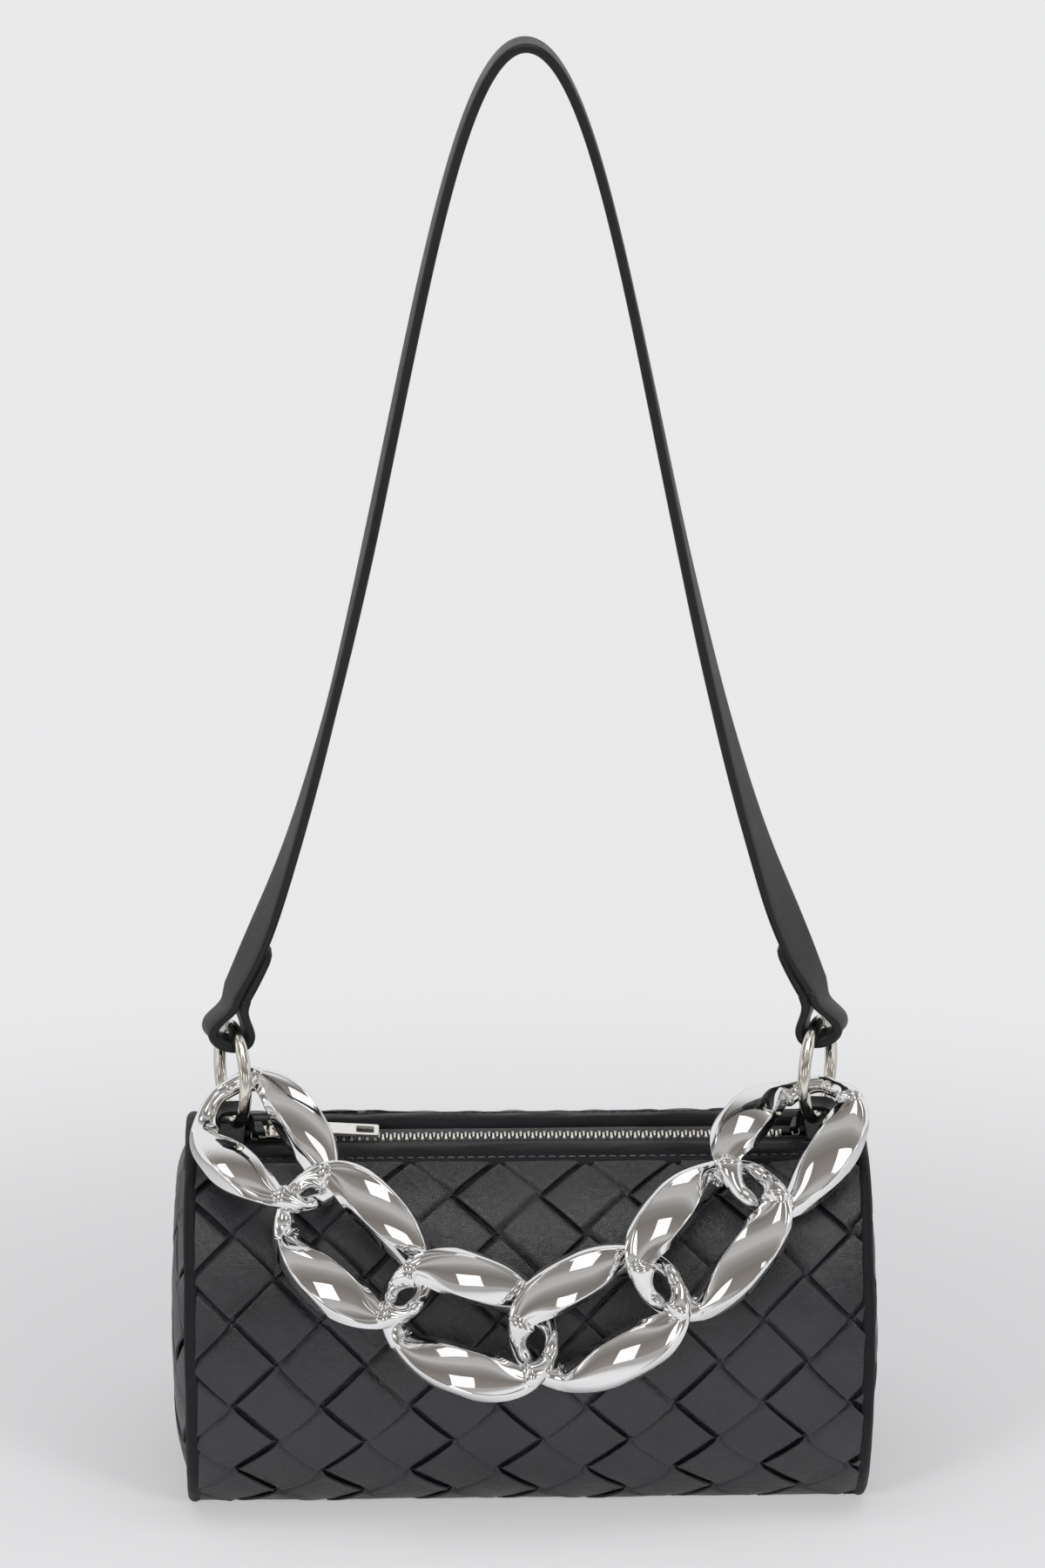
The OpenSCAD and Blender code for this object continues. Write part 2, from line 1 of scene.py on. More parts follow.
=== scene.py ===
# %% [markdown]
# # A woven barrel bag with a curb chain
#
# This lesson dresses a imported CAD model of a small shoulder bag: a barrel of woven leather strips, a metal
# zip along its top, a leather strap folded round two rings, and six heavy chrome links draped across the
# front. The CAD model gives every piece its place. Each cell below makes one piece the way a bag maker
# would think of it, so that the weave is really woven and the strap is really folded.

# %% Tools and the CAD model
import json
import math
import bpy
import bmesh
import numpy as np
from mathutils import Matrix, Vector, noise

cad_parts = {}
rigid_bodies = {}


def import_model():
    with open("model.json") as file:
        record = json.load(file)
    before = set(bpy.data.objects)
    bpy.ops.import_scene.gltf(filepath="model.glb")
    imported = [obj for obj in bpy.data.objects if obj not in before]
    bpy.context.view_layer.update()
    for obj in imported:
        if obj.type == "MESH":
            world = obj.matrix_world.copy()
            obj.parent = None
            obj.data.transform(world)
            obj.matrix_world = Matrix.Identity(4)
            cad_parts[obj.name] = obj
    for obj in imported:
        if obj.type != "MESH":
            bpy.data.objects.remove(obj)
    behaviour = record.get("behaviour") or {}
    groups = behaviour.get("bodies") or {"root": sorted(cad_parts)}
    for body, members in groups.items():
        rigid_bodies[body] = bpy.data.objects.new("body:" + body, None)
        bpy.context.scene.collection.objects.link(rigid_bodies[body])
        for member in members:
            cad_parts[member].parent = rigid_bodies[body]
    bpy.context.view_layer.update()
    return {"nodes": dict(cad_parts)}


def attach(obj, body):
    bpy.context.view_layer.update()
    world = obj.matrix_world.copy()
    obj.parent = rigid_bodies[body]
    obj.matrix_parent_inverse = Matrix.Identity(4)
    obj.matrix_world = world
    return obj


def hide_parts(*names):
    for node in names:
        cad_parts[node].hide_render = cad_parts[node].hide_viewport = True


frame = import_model()
MM = 0.001

# %% [markdown]
# ## Small helpers
#
# Nearly every piece of a bag is a strip or a cord: a short cross-section carried along a path. So the main
# helper takes a grid of points, row after row, and joins them with faces. Points are in millimetres while
# they are being worked out, because that is how a bag maker measures, and become metres in the mesh.

# %% Make a mesh piece from points and faces
def show(mesh, finish, body):
    """Puts a mesh into the scene with smooth shading and a finish, riding on its body."""
    mesh.polygons.foreach_set("use_smooth", [True] * len(mesh.polygons))
    mesh.materials.append(finish)
    obj = bpy.data.objects.new(mesh.name, mesh)
    bpy.context.scene.collection.objects.link(obj)
    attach(obj, body)
    return obj


def piece(name, points, faces, finish, body):
    mesh = bpy.data.meshes.new(name)
    mesh.from_pydata([tuple(p) for p in np.asarray(points, float) * MM], [], [tuple(f) for f in faces])
    mesh.validate()
    return show(mesh, finish, body)


def grid_faces(rows, across, close_rows, close_across, start):
    faces = []
    for i in range(rows if close_rows else rows - 1):
        for j in range(across if close_across else across - 1):
            a, b = i * across + j, i * across + (j + 1) % across
            c, d = ((i + 1) % rows) * across + (j + 1) % across, ((i + 1) % rows) * across + j
            faces.append((start + a, start + b, start + c, start + d))
    return faces


class Heap:
    """Collects many small grids into one mesh."""
    def __init__(self):
        self.points, self.faces, self.count = [], [], 0

    def grid(self, rings, close_rows=False, close_across=False, caps=False):
        rings = np.asarray(rings, float)
        rows, across = rings.shape[:2]
        self.faces += grid_faces(rows, across, close_rows, close_across, self.count)
        if caps:
            self.faces.append(tuple(self.count + j for j in range(across - 1, -1, -1)))
            self.faces.append(tuple(self.count + (rows - 1) * across + j for j in range(across)))
        self.points.append(rings.reshape(-1, 3))
        self.count += rows * across

    def make(self, name, finish, body):
        return piece(name, np.concatenate(self.points), self.faces, finish, body)


def swept(name, rings, finish, body, **closing):
    """A piece made of a single grid."""
    heap = Heap()
    heap.grid(rings, **closing)
    return heap.make(name, finish, body)


def unit(v):
    v = np.asarray(v, float)
    return v / np.maximum(np.linalg.norm(v, axis=-1, keepdims=True), 1e-12)


def mix(a, b, t):
    return a + (b - a) * t


def ease(t):
    t = np.clip(t, 0, 1)
    return t * t * (3 - 2 * t)


def wander(*at, size=40.0, seed=0.0):
    """Smooth noise from -1 to 1 that changes over about size millimetres."""
    p = [float(v) / size for v in at] + [0.0] * (3 - len(at))
    return noise.noise(Vector((p[0] + seed * 7.3, p[1] - seed * 3.1, p[2] + seed)))


def chance(*keys):
    """A fixed number from 0 to 1 for these keys, the same on every run."""
    v = math.sin(sum(k * f for k, f in zip(keys, (12.9898, 78.233, 37.719, 9.131)))) * 43758.5453
    return v - math.floor(v)


ENDS = ((-1, "left"), (1, "right"))
FLAPS = ((1, "front"), (-1, "back"))

# %% [markdown]
# ## Wiring
#
# A finish is a tree of small nodes: textures, ramps and sums that lead to a shader. This helper adds a node
# and wires its inputs in one line, so that each finish below reads like a recipe.

# %% Wiring shader nodes
class Wiring:
    """Adds nodes to a tree. An input is a constant or another node's output."""
    def __init__(self, tree):
        self.nodes, self.links = tree.nodes, tree.links

    def feed(self, socket, value):
        if isinstance(value, bpy.types.NodeSocket):
            self.links.new(value, socket)
        else:
            socket.default_value = value

    def add(self, kind, inputs=(), **settings):
        node = self.nodes.new(kind)
        for name, value in settings.items():
            setattr(node, name, value)
        for name, value in dict(inputs).items():
            self.feed(node.inputs[name], value)
        return node

    def maths(self, operation, *values, clamp=False):
        node = self.add("ShaderNodeMath", operation=operation, use_clamp=clamp)
        for socket, value in zip(node.inputs, values):
            self.feed(socket, value)
        return node.outputs["Value"]

    def ramp(self, value, low, high, to_low=0.0, to_high=1.0, kind="SMOOTHSTEP"):
        limits = {"From Min": low, "From Max": high, "To Min": to_low, "To Max": to_high}
        node = self.add("ShaderNodeMapRange", {"Value": value, **limits}, interpolation_type=kind)
        return node.outputs["Result"]

    def colours(self, value, *stops):
        """A colour for each value, between stops of (value, colour)."""
        node = self.add("ShaderNodeValToRGB", {"Fac": value})
        row = node.color_ramp.elements
        for element, (at, colour) in zip(row, (stops[0], stops[-1])):
            element.position, element.color = at, (*colour, 1)
        for at, colour in stops[1:-1]:
            row.new(at).color = (*colour, 1)
        return node.outputs["Color"]

    def bump(self, height, deep_mm, **under):
        node = self.add("ShaderNodeBump", {"Strength": 1.0, "Distance": deep_mm * MM, "Height": height, **under})
        return node.outputs["Normal"]

    def place(self):
        return self.add("ShaderNodeTexCoord").outputs["Object"]

    def noise(self, place, scale, detail, **more):
        return self.add("ShaderNodeTexNoise", {"Vector": place, "Scale": scale, "Detail": detail, **more}).outputs

    def mixed(self, share, first, second):
        node = self.add("ShaderNodeMixShader", {"Fac": share})
        self.feed(node.inputs[1], first)
        self.feed(node.inputs[2], second)
        return node.outputs["Shader"]


def new_finish(name, colour, rough, metallic=0.0):
    finish = bpy.data.materials.new(name)
    finish.use_nodes = True
    finish.diffuse_color = (*colour, 1)
    shader = finish.node_tree.nodes["Principled BSDF"]
    shader.inputs["Base Color"].default_value = (*colour, 1)
    shader.inputs["Roughness"].default_value = rough
    shader.inputs["Metallic"].default_value = metallic
    return finish, Wiring(finish.node_tree), shader

# %% [markdown]
# ## Finishes
#
# The leather is calf with a fine, slightly pebbled grain and a satin top coat. Grain is made from small
# Voronoi cells that push the surface down at their borders, with a second, larger noise that changes how
# much the coat shines: handled leather is never evenly glossy. The strips, the smooth trim and the strap
# are cut from different skins, so each gets its own scale and tone.

# %% Leather
BLACK, WHITE = (0, 0, 0), (1, 1, 1)
# How far the coat's roughness strays to both sides
GLOSS_RANGE = 0.13


def leather(name, dark, light, grain_mm, rough, depth, crease, specular):
    finish, wire, shader = new_finish(name, mix(np.array(dark), np.array(light), 0.5), rough)
    place, grain = wire.place(), grain_mm * MM
    warp = wire.noise(place, 0.35 / grain, 4)["Color"]
    bend = wire.add("ShaderNodeMixRGB", {"Fac": grain * 0.9, "Color1": place, "Color2": warp}, blend_type="ADD")
    cells = wire.add("ShaderNodeTexVoronoi", {"Vector": bend.outputs["Color"], "Scale": 1 / grain},
                     feature="DISTANCE_TO_EDGE")
    pebble = wire.colours(cells.outputs["Distance"], (0.0, BLACK), (0.22, WHITE))
    patch = wire.noise(place, 38, 5, Roughness=0.6)["Fac"]
    wire.feed(shader.inputs["Base Color"], wire.colours(patch, (0.3, dark), (0.72, light)))
    wire.feed(shader.inputs["Roughness"],
              wire.ramp(patch, 0.3, 0.7, rough - GLOSS_RANGE, rough + GLOSS_RANGE, "LINEAR"))
    normal = wire.bump(pebble, depth)
    if crease:
        normal = wire.bump(wire.noise(place, 150, 3, Distortion=1.2)["Fac"], crease, Normal=normal)
    wire.feed(shader.inputs["Normal"], normal)
    shader.inputs["Specular IOR Level"].default_value = specular
    return finish


strip_leather = leather("strip leather", (0.005, 0.005, 0.0065), (0.015, 0.015, 0.018), 0.75, 0.33, 0.05, 0.5, 0.72)
trim_leather = leather("trim leather", (0.007, 0.007, 0.008), (0.013, 0.013, 0.015), 0.6, 0.42, 0.04, 0.26, 0.10)
strap_leather = leather("strap leather", (0.013, 0.013, 0.014), (0.023, 0.023, 0.025), 0.7, 0.44, 0.05, 0.05, 0.5)
raw_edge = leather("painted edge", (0.006, 0.006, 0.007), (0.010, 0.010, 0.011), 1.2, 0.36, 0.02, 0.0, 0.3)
print("leathers:", [m.name for m in bpy.data.materials if "leather" in m.name or "edge" in m.name])

# %% [markdown]
# ## Metal
#
# The links are plated and polished like a mirror, so their finish is almost nothing but what they reflect;
# a trace of ripple keeps the reflections from looking ground by a machine. The rings and the zip are a
# paler, warmer nickel with fine wear, seen as tiny changes in roughness.

# %% Chrome and nickel
def metal(name, colour, rough, ripple_mm, wear, scale):
    finish, wire, shader = new_finish(name, colour, rough, 1.0)
    cloud = wire.noise(wire.place(), scale, 4)["Fac"]
    wire.feed(shader.inputs["Roughness"], wire.ramp(cloud, 0.35, 0.75, rough, rough + wear, "LINEAR"))
    wire.feed(shader.inputs["Normal"], wire.bump(cloud, ripple_mm))
    return finish


chrome = metal("chrome plate", (0.90, 0.90, 0.90), 0.02, 0.012, 0.03, 45)
nickel = metal("pale nickel", (0.80, 0.77, 0.70), 0.10, 0.02, 0.10, 260)
zip_metal = metal("zip metal", (1.0, 0.98, 0.94), 0.36, 0.02, 0.12, 300)

# %% [markdown]
# ## Cloth
#
# The zip tape is a tight twill and the lining a plain weave. Both are two sets of threads crossing, so two
# wave textures at right angles, multiplied, give the bump of the weave.

# %% Woven cloth
def cloth(name, colour, thread_mm, turn=0.785):
    finish, wire, shader = new_finish(name, colour, 0.85)
    spin = wire.add("ShaderNodeMapping", {"Vector": wire.place(), "Rotation": (0, 0, turn)}).outputs["Vector"]
    threads = [wire.add("ShaderNodeTexWave", {"Vector": spin, "Scale": 0.314 / (thread_mm * MM), "Distortion": 0.4},
                        bands_direction=way).outputs["Fac"] for way in ("X", "Y")]
    both = wire.maths("MULTIPLY", *threads)
    # The colour follows the weave's height: painted shade darkens the hollows between the threads and painted light
    # brightens their tops
    tone = wire.colours(both, (0, [c * 0.5 for c in colour]), (1, [c * 1.5 for c in colour]))
    wire.feed(shader.inputs["Base Color"], tone)
    wire.feed(shader.inputs["Normal"], wire.bump(both, thread_mm * 0.3))
    shader.inputs["Sheen Weight"].default_value = 0.25
    return finish


tape_cloth = cloth("tape twill", (0.012, 0.012, 0.013), 0.45)
lining_cloth = cloth("lining cloth", (0.016, 0.016, 0.018), 0.35, 0.0)
thread_finish = cloth("sewing thread", (0.085, 0.085, 0.090), 0.3)
board_finish = cloth("base board", (0.13, 0.115, 0.09), 1.2, 0.3)

# %% [markdown]
# ## The barrel's outline
#
# Cut across, the bag is a circle with a flat foot. Distance round that outline, from the very top down the
# front, is the `s` that all leather pieces share, like a tape measure wrapped round the bag. A stiff card
# would meet the flat foot in a sharp corner, but leather turns softly, so the outline is smoothed there.

# %% Outline and surface of the barrel
BODY_R, BASE_HALF, HALF_L = 66.0, 26.0, 114.0
AXIS_Z = math.sqrt(BODY_R ** 2 - BASE_HALF ** 2)
ARC = BODY_R * (math.pi - math.asin(BASE_HALF / BODY_R))
AROUND = 2 * ARC + 2 * BASE_HALF


def outline_table(step=0.5, soft=4.0):
    s = np.arange(0, AROUND, step)
    y, z = np.zeros_like(s), np.zeros_like(s)
    front, foot = s <= ARC, (s > ARC) & (s < ARC + 2 * BASE_HALF)
    back = s >= ARC + 2 * BASE_HALF
    y[front], z[front] = -BODY_R * np.sin(s[front] / BODY_R), AXIS_Z + BODY_R * np.cos(s[front] / BODY_R)
    y[foot], z[foot] = s[foot] - ARC - BASE_HALF, 0
    turn = (AROUND - s[back]) / BODY_R
    y[back], z[back] = BODY_R * np.sin(turn), AXIS_Z + BODY_R * np.cos(turn)
    reach = np.arange(-int(3 * soft / step), int(3 * soft / step) + 1)
    weight = np.exp(-0.5 * (reach * step / soft) ** 2)
    weight /= weight.sum()
    blur = lambda v: sum(w * np.roll(v, -k) for k, w in zip(reach, weight))
    sy, sz = blur(y), blur(z)
    # Blurring pulls a circle in by a hair; push it back out everywhere but at the foot's corners
    swell = BODY_R / (BODY_R * math.exp(-0.5 * (soft / BODY_R) ** 2))
    sy, sz = sy * swell, AXIS_Z + (sz - AXIS_Z) * swell
    sz = np.maximum(sz, 0)
    ny, nz = np.roll(sz, -1) - np.roll(sz, 1), np.roll(sy, 1) - np.roll(sy, -1)
    length = np.hypot(ny, nz)
    return s, sy, sz, ny / length, nz / length


# Distance, y and z of the outline, and the y and z of the way out of it
TABLE = outline_table()


def look(s, column):
    return np.interp(np.mod(s, AROUND), TABLE[0], TABLE[column], period=AROUND)


def slump(x, s):
    """How the filled bag swells and sinks, in millimetres out of the barrel."""
    along = 1 - (x / HALF_L) ** 2
    belly = 1.0 * along * math.sin(math.pi * min(max((s - 60) / 150, 0), 1))
    dents = 0.9 * wander(x, s, size=46, seed=3) + 0.45 * wander(x, s, size=19, seed=8)
    foot = ease((s - ARC + 14) / 14) * ease((ARC + 2 * BASE_HALF + 14 - s) / 14)
    return (belly + dents * ease((HALF_L - abs(x)) / 12 + 0.25)) * (1 - 0.92 * foot)


def on_barrel(x, s, out, slumped=True):
    if slumped:
        out = out + np.array([slump(a, b) for a, b in zip(np.ravel(x), np.ravel(s))]).reshape(np.shape(x))
    y = look(s, 1) + look(s, 3) * out
    z = look(s, 2) + look(s, 4) * out
    return np.stack([np.broadcast_to(x, np.shape(y)), y, np.maximum(z, 0.02)], -1)


print("round the outline:", round(AROUND, 1), "mm; front of the foot at", round(ARC, 1), "mm")

# %% [markdown]
# ## Weaving the strips
#
# The body is woven on the bias: flat leather strips about 21 mm wide cross at right angles, each going over
# one and under the next. It could be faked with a bump texture, but the strips of this bag lift at their
# edges and throw real shadows. So every strip is a ribbon of its own with a rolled edge, laid out flat
# first, and its height follows the rule of plain weave: up where it passes over, down where it passes under.

# %% One flat ribbon of the weave
CELL = 29.8
SPACING = CELL / math.sqrt(2)
STRIP_W, STRIP_T = 20.75, 1.15
# Heights of a strip where it runs under and over another, and of its pillows and wrinkles
UNDER, OVER, PILLOW, WRINKLE = -0.95, 0.42, 0.34, 0.24
# Where a strip starts to dive and how long it takes, counted in crossings
DIVE_AT, DIVE_LENGTH = 0.405, 0.09


def over_under(phase):
    """1 on top, 0 underneath, for a place along a strip counted in crossings."""
    d = abs((phase + 1) % 2 - 1)
    return 1 - ease((d - DIVE_AT) / DIVE_LENGTH)


def strip_profile():
    half = STRIP_W / 2
    outer = [(-half + 0.15, -STRIP_T), (-half, -STRIP_T * 0.55), (-half + 0.12, -0.16), (-half + 0.5, -0.02),
             (-half + 2.0, 0.04), (-half * 0.6, 0.08), (-half * 0.4, 0.11), (-half * 0.2, 0.12), (0, 0.13)]
    return outer + [(-w, h) for w, h in reversed(outer[:-1])]


def creasing(at, phase, family, up):
    """Each crossing is a low pillow, and the leather wrinkles across the strip where it dives."""
    d = abs((phase + family + 1) % 2 - 1)
    pillow = PILLOW * math.cos(math.pi * min(d, 0.5)) * up
    along, over = (at[0] + at[1], at[0] - at[1]) if family == 0 else (at[0] - at[1], at[0] + at[1])
    wrinkle = wander(along, over * 0.35, size=4.2, seed=31 + family) * ease((d - 0.12) / 0.3)
    return pillow + WRINKLE * wrinkle * (0.5 + wander(at[0], at[1], size=33, seed=37)) * up


def ribbons(first_cell, corners, lift):
    """Flat strips over the rectangle corners = (a0, b0, a1, b1); returns points (a, b, height) and faces."""
    heap = Heap()
    a0, b0, a1, b1 = corners
    profile = strip_profile()
    root = math.sqrt(0.5)
    for family in (0, 1):
        way = np.array([root, root if family == 0 else -root])
        side = np.array([root, -root if family == 0 else root])
        rest = np.array([(p, q) for p in (a0, a1) for q in (b0, b1)], float)
        k0, t0 = float(side @ first_cell), float(way @ first_cell)
        cs, ts = (rest @ side - k0) / SPACING, (rest @ way - t0) / SPACING
        for k in range(math.floor(cs.min()) - 1, math.ceil(cs.max()) + 2):
            shift = (chance(k, family, 1) - 0.5) * 0.5
            skew = (chance(k, family, 2) - 0.5) * 0.004
            rings = []
            for t in np.arange(math.floor(ts.min()) - 1, math.ceil(ts.max()) + 1.001, 0.05):
                mid = side * (k0 + k * SPACING + shift + skew * t * SPACING) + way * (t0 + t * SPACING)
                if not (a0 - 22 < mid[0] < a1 + 22 and b0 - 22 < mid[1] < b1 + 22):
                    continue
                up = over_under(t - k if family == 0 else t - k + 1)
                ring = []
                for w, h in profile:
                    at = mid + side * w
                    curl = abs(w / (STRIP_W / 2)) ** 5 * lift(at[0], at[1], k, family) * up
                    ring.append((at[0], at[1], mix(UNDER, OVER, up) + h + curl + creasing(at, t - k, family, up)))
                rings.append(ring)
            if len(rings) > 2:
                heap.grid(rings)
    return heap


def trim_flat(heap, planes):
    """Cuts the flat strips to the shape of the panel: planes are (point, outward normal) in (a, b)."""
    mesh = bmesh.new()
    rows = [mesh.verts.new(p) for p in np.concatenate(heap.points)]
    for f in heap.faces:
        mesh.faces.new([rows[i] for i in f])
    for at, out in planes:
        everything = mesh.verts[:] + mesh.edges[:] + mesh.faces[:]
        bmesh.ops.bisect_plane(mesh, geom=everything, plane_co=(at[0], at[1], 0), plane_no=(out[0], out[1], 0),
                               clear_outer=True)
    mesh.verts.index_update()
    points = np.array([v.co[:] for v in mesh.verts])
    faces = [tuple(v.index for v in f.verts) for f in mesh.faces]
    mesh.free()
    return points, faces


# %% Weave the barrel
def barrel_lift(x, s, k, family):
    low = ease((s - 105) / 60) * 0.55
    ends = ease((abs(x) - 78) / 30) * 0.65
    return max(0.0, 0.12 + (0.25 + low + ends) * (0.5 + 0.8 * wander(x, s, k * 9, size=24, seed=family)))


SEAM_FRONT, SEAM_BACK = math.radians(25.4) * BODY_R, AROUND - math.radians(13.4) * BODY_R
# A crossing that is easy to find in the photograph: along the bag and round it
KNOWN_CROSSING = np.array([-70.4, 132.0])
flat = ribbons(KNOWN_CROSSING, (-113, SEAM_FRONT - 1.5, 113, SEAM_BACK + 1.5), barrel_lift)
edge_planes = [((112.8, 0), (1, 0)), ((-112.8, 0), (-1, 0)), ((0, SEAM_FRONT - 1), (0, -1)),
               ((0, SEAM_BACK + 1), (0, 1))]
flat_points, flat_faces = trim_flat(flat, edge_planes)
woven = piece("woven_body", on_barrel(flat_points[:, 0], flat_points[:, 1], flat_points[:, 2]), flat_faces,
              strip_leather, "bag")
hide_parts("body_panel")
print("barrel strips:", len(flat_points), "points")

# %% [markdown]
# ## A dark sheet of painted shade
#
# Behind the strips lies a thin dark sheet. It keeps light out of the crossings like a backing, and its dark
# colour is painted shade: it is only ever seen as the darkness inside a gap, so a plain sheet a little inside
# the strips is enough.

# %% Dark sheet of painted shade behind the barrel
SHADE_BACKING_DEPTH = 1.75
rows = np.arange(SEAM_FRONT - 2, SEAM_BACK + 2, 4.0)
cols = np.linspace(-112.5, 112.5, 60)
grid_s, grid_x = np.meshgrid(rows, cols, indexing="ij")
below = np.full(grid_x.shape, -SHADE_BACKING_DEPTH)
# A sheet as dark as the painted edges, standing for the shade inside the gaps between the strips
shade_backing = swept("barrel_shade_backing", on_barrel(grid_x, grid_s, below), raw_edge, "bag")

# %% [markdown]
# ## Woven ends
#
# Each end is a woven disc, slightly domed by what is inside. The same flat strips are used again, cut to
# the round outline with straight cuts, and laid over a shallow dome instead of the barrel.

# %% Weave the two ends
BULGE = {-1: 7.8, 1: 6.2}
# The radius and depth of the dark discs of painted shade behind the end strips are given after the end's own radius
END_R, END_SHADE_BACKING_R, END_SHADE_BACKING_DEPTH = 63.4, 63.8, 1.7


def on_end(side, a, b, out):
    """a across and b down from the body's axis; out is away from the bag."""
    r2 = np.clip((a ** 2 + b ** 2) / (BODY_R - 3) ** 2, 0, 1)
    dents = np.array([wander(p, q, size=30, seed=5 + side) for p, q in zip(a, b)])
    swell = BULGE[side] * (1 - r2 ** 2.2) + 0.8 * dents
    x = side * (HALF_L - 1.2 + swell + out)
    return np.stack([x, side * a, AXIS_Z - b], -1)


def end_lift(a, b, k, family):
    far = ease((math.hypot(a, b) - 30) / 30)
    return max(0.0, 0.2 + 1.3 * far * (0.5 + 0.9 * wander(a, b, k * 7, size=22, seed=family + 2)))


for side, word in ENDS:
    disc = ribbons(np.array([4.0 * side, 6.0]), (-66, -66, 66, 60), end_lift)
    ring_cuts = [((END_R * math.cos(q), END_R * math.sin(q)), (math.cos(q), math.sin(q)))
                 for q in np.arange(0, 2 * math.pi, math.pi / 24)]
    end_points, end_faces = trim_flat(disc, ring_cuts + [((0, AXIS_Z - 2.6), (0, 1))])
    end_points = on_end(side, end_points[:, 0], end_points[:, 1], end_points[:, 2])
    if side < 0:
        end_faces = [tuple(reversed(f)) for f in end_faces]
    woven_end = piece("woven_end_" + word, end_points, end_faces, strip_leather, "bag")
    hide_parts("end_panel_" + word)
    # A dark disc behind the woven end, painted shade for the gaps between its strips
    turns = np.linspace(0, 2 * math.pi, 60, endpoint=False)
    disc_rows = []
    for share in np.linspace(0.02, 1, 12):
        a, b = END_SHADE_BACKING_R * share * np.cos(turns), END_SHADE_BACKING_R * share * np.sin(turns)
        disc_rows.append(on_end(side, a, np.minimum(b, AXIS_Z - 2.4), np.full(60, -END_SHADE_BACKING_DEPTH)))
    behind = swept("end_shade_backing_" + word, disc_rows, raw_edge, "bag", close_across=True)
    print("end", word, len(end_points), "points")

# %% [markdown]
# ## Piping
#
# Where each end meets the barrel, a cord wrapped in thin leather is sewn into the seam. It is a tube that
# follows the outline. Wrapped leather is never perfectly round, so its radius wanders a little and a narrow
# lip beside it shows where the seam pinches the leather together.

# %% Piping round both ends
def tube(path, radius, sides, closed=False, ripple=0.0, seed=0):
    path = np.asarray(path, float)
    n = len(path)
    ahead = np.roll(path, -1, 0) if closed else np.vstack([path[1:], path[-1:]])
    behind = np.roll(path, 1, 0) if closed else np.vstack([path[:1], path[:-1]])
    run = unit(ahead - behind)
    frames = [unit(np.cross(run[0], [1, 0.01, 0.02]))]
    for i in range(1, n):
        frames.append(unit(frames[-1] - run[i] * (frames[-1] @ run[i])))
    first = np.array(frames)
    second = np.cross(run, first)
    angle = np.linspace(0, 2 * math.pi, sides, endpoint=False)
    size = np.broadcast_to(radius, (n,)).astype(float)
    rings = []
    for i in range(n):
        wobble = 1 + ripple * np.array([wander(*(path[i] + 3 * q), size=9, seed=seed) for q in angle])
        rings.append(path[i] + first[i] * (size[i] * wobble * np.cos(angle))[:, None]
                     + second[i] * (size[i] * wobble * np.sin(angle))[:, None])
    return rings


for side, word in ENDS:
    s = np.arange(0, AROUND, 1.6)
    y, z = look(s, 1) - look(s, 3) * 0.9, look(s, 2) - look(s, 4) * 0.9
    path = np.stack([np.full(s.shape, side * HALF_L) + 0.35 * np.array([wander(v, size=30, seed=side) for v in s]),
                     y, np.maximum(z, 2.5)], -1)
    cord = Heap()
    cord.grid(tube(path, 2.45, 14, True, 0.05, side), True, True)
    lip = path + np.stack([np.full(s.shape, -side * 2.9), -look(s, 3) * 0.7, -look(s, 4) * 0.7], -1)
    lip[:, 2] = np.maximum(lip[:, 2], 1.3)
    cord.grid(tube(lip, 1.15, 8, True, 0.08, side + 4), True, True)
    piping = cord.make("piping_" + word + "_leather", trim_leather, "bag")
    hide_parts("piping_" + word)

# %% [markdown]
# ## Zip panel
#
# Two strips of smooth leather run beside the zip. Each is folded back on itself at the zip and sewn down
# over the cut ends of the weave, with one row of stitches a few millimetres from the seam. The leather is
# padded by its own fold, so it puckers into long soft waves between the stitches. A cross-section of the
# folded leather is carried along the bag, and noise stretched lengthwise moves it up and down.

# %% The two facings
LEAN = math.radians(6)
FACING_FRONT = [(12.4, -3.6), (10.6, -3.3), (9.6, -2.5), (9.3, -1.5), (9.6, -0.6), (10.4, 0.0), (11.6, 0.35),
                (13.2, 0.55), (15.0, 0.62), (16.8, 0.55), (17.9, 0.32), (18.5, 0.12), (19.1, 0.34), (20.0, 0.6),
                (21.0, 0.62), (21.8, 0.48), (22.3, 0.1), (22.45, -0.45), (22.3, -1.0)]
STITCH_S, STITCH_PITCH, STITCH_L, THREAD_R = 18.5, 3.4, 2.5, 0.30
# How much fuller than its drawing each facing is
PADDING = {1: 1.0, -1: 1.35}


def zip_place(x, across, height):
    """A point by its distance across from the zip's middle, positive to the front, and height over the body."""
    s = across + LEAN * BODY_R
    turn = s / BODY_R
    radius = BODY_R + height
    return np.stack([np.broadcast_to(x, np.shape(radius * turn)), -radius * np.sin(turn),
                     AXIS_Z + radius * np.cos(turn)], -1)


def facing_rows(side):
    rows = []
    for x in np.linspace(-111.3, 111.3, 250):
        row = []
        for across, height in FACING_FRONT:
            free = math.sin(math.pi * min(max((across - 9) / 13.5, 0), 1))
            pull = ease((across - 9) / 2) * ease((21.5 - across) / 3)
            wave = 0.75 * wander(x, across * 5.5, size=34, seed=11 + side) \
                + 0.42 * wander(x, across * 9, size=13, seed=17 + side)
            edge = 0.55 * wander(x, 0, size=42, seed=23 + side) + 0.2 * wander(x, 5, size=15, seed=29)
            a = across + edge * (1 - ease((across - 11) / 9))
            dip = -0.22 * math.exp(-((across - STITCH_S) / 0.7) ** 2) \
                * (0.5 + 0.5 * math.cos(x * 2 * math.pi / STITCH_PITCH))
            row.append(zip_place(x, side * a, height * PADDING[side] + wave * free * pull + dip))
        rows.append(row)
    return rows


